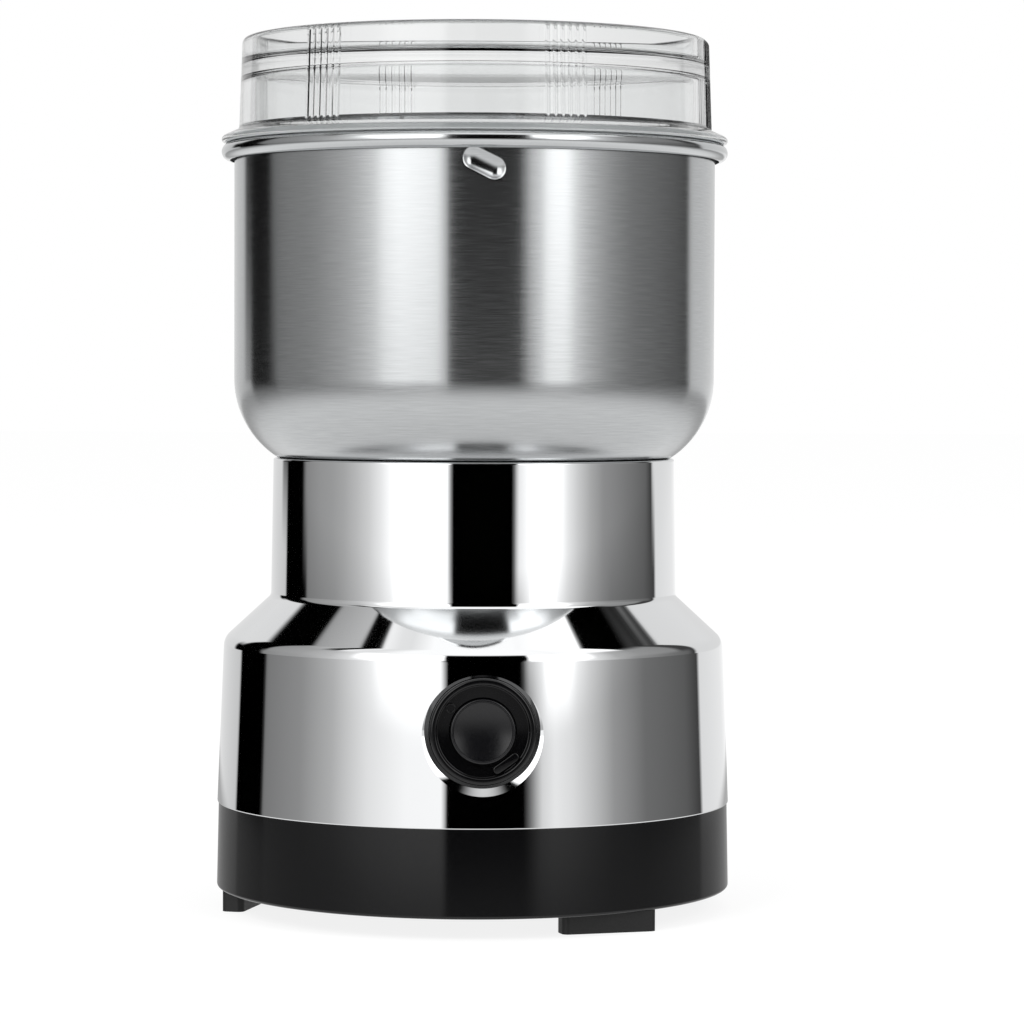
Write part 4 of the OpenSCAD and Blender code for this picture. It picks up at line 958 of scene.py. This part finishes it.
def studio_world():
    """The studio as the world: white to the camera, and its soft boxes and dark cards to
    whatever reflects."""
    world = bpy.data.worlds.new("studio")
    bpy.context.scene.world = world
    world.use_nodes = True
    tree = world.node_tree
    tree.nodes.clear()
    place = node(tree, "ShaderNodeTexCoord").outputs["Generated"]
    faced = node(tree, "ShaderNodeVectorRotate", {"Vector": place, "Angle": CAMERA_TURN},
                 rotation_type="Z_AXIS")
    parts = node(tree, "ShaderNodeSeparateXYZ", {"Vector": faced.outputs[0]})
    height = parts.outputs["Z"]
    ahead = maths(tree, "SUBTRACT", maths(tree, "MULTIPLY", height, LEAN), parts.outputs["Y"])
    around = maths(tree, "ARCTAN2", parts.outputs["X"], ahead)
    share = mapped(tree, around, -math.pi, math.pi)
    low = studio_ring(tree, share, STUDIO_LOW)
    sides = mixed(tree, mapped(tree, height, *WALL_FROM), low, studio_ring(tree, share, STUDIO_WALL))
    sides = mixed(tree, mapped(tree, height, *MID_FROM), sides, studio_ring(tree, share, STUDIO_MID))
    over = mapped(tree, height, *HIGH_FROM, interpolation_type="SMOOTHSTEP")
    sides = mixed(tree, over, sides, studio_ring(tree, share, STUDIO_HIGH))
    # The dark room between the boxes ends where they meet above it
    meet = mapped(tree, height, *MEET_FROM, interpolation_type="SMOOTHSTEP")
    facing = mapped(tree, maths(tree, "ABSOLUTE", around), *MEET_WITHIN)
    room = mixed(tree, maths(tree, "MULTIPLY", facing, meet), sides, grey(MEET_LEVEL))
    # The table: dim far off, where it mirrors the boxes, and white close by
    depth = maths(tree, "MULTIPLY", height, -1.0)
    far = maths(tree, "MULTIPLY_ADD", low, FAR_SHARE, FAR_LEVEL)
    close = node(tree, "ShaderNodeValToRGB", {"Fac": depth}, stops=CLOSE_LEVELS).outputs["Color"]
    table = mixed(tree, mapped(tree, depth, *CLOSE_FROM), far, close)
    studio = mixed(tree, mapped(tree, depth, *TABLE_FROM), room, table)
    path = node(tree, "ShaderNodeLightPath").outputs
    seen = mixed(tree, path["Is Glossy Ray"], grey(PLAIN_LEVEL), studio)
    through = mixed(tree, THROUGH_SHARE, grey(BACKDROP_LEVEL), studio)
    seen = mixed(tree, path["Is Transmission Ray"], seen, through)
    seen = mixed(tree, path["Is Camera Ray"], seen, grey(1.0))
    light = node(tree, "ShaderNodeBackground", {"Color": seen, "Strength": 1.0})
    node(tree, "ShaderNodeOutputWorld", {"Surface": light.outputs[0]})


def studio_floor():
    """A plain white table that keeps a faint shadow. Mirrors see the studio instead of it."""
    half, glow_level, glow_share = 6.0, 1.07, 0.8
    mesh = bpy.data.meshes.new("floor")
    corners = [(-half, -half, 0), (half, -half, 0), (half, half, 0), (-half, half, 0)]
    mesh.from_pydata(corners, [], [(0, 1, 2, 3)])
    table = bpy.data.objects.new("studio_floor", mesh)
    bpy.context.scene.collection.objects.link(table)
    made, tree, shader = material("studio_floor_white")
    set_all(shader, Base_Color=grey(0.85), Roughness=0.9, Specular_IOR_Level=0.0)
    # To the camera it is mostly a glow, which keeps it white
    glow = node(tree, "ShaderNodeEmission", {"Color": grey(1.0), "Strength": glow_level})
    share = maths(tree, "MULTIPLY", node(tree, "ShaderNodeLightPath").outputs["Is Camera Ray"], glow_share)
    blend = node(tree, "ShaderNodeMixShader", {"Fac": share, 1: shader.outputs[0], 2: glow.outputs[0]})
    tree.links.new(blend.outputs[0], tree.nodes["Material Output"].inputs["Surface"])
    mesh.materials.append(made)
    table.visible_glossy = False
    table.visible_transmission = False


def soft_lamp(name, spot, watts, aim=(0, 0, 0.08), size=0.8):
    """A square area lamp that mirrors don't see, because the studio world stands for it there."""
    lamp = bpy.data.lights.new(name, "AREA")
    lamp.size = size
    lamp.energy = watts
    holder = bpy.data.objects.new(name, lamp)
    holder.location = spot
    holder.rotation_euler = (Vector(aim) - Vector(spot)).to_track_quat("-Z", "Y").to_euler()
    holder.visible_glossy = False
    holder.visible_transmission = False
    holder.visible_camera = False
    bpy.context.scene.collection.objects.link(holder)


place_camera()
add_pieces()
for name, finish in FINISHES.items():
    dress(NODES[name], finish)
studio_world()
studio_floor()
soft_lamp("key_lamp", (-0.9, -1.1, 1.2), watts=14)
soft_lamp("fill_lamp", (1.0, -0.9, 0.9), watts=8)
bpy.context.scene.view_settings.view_transform = "Standard"
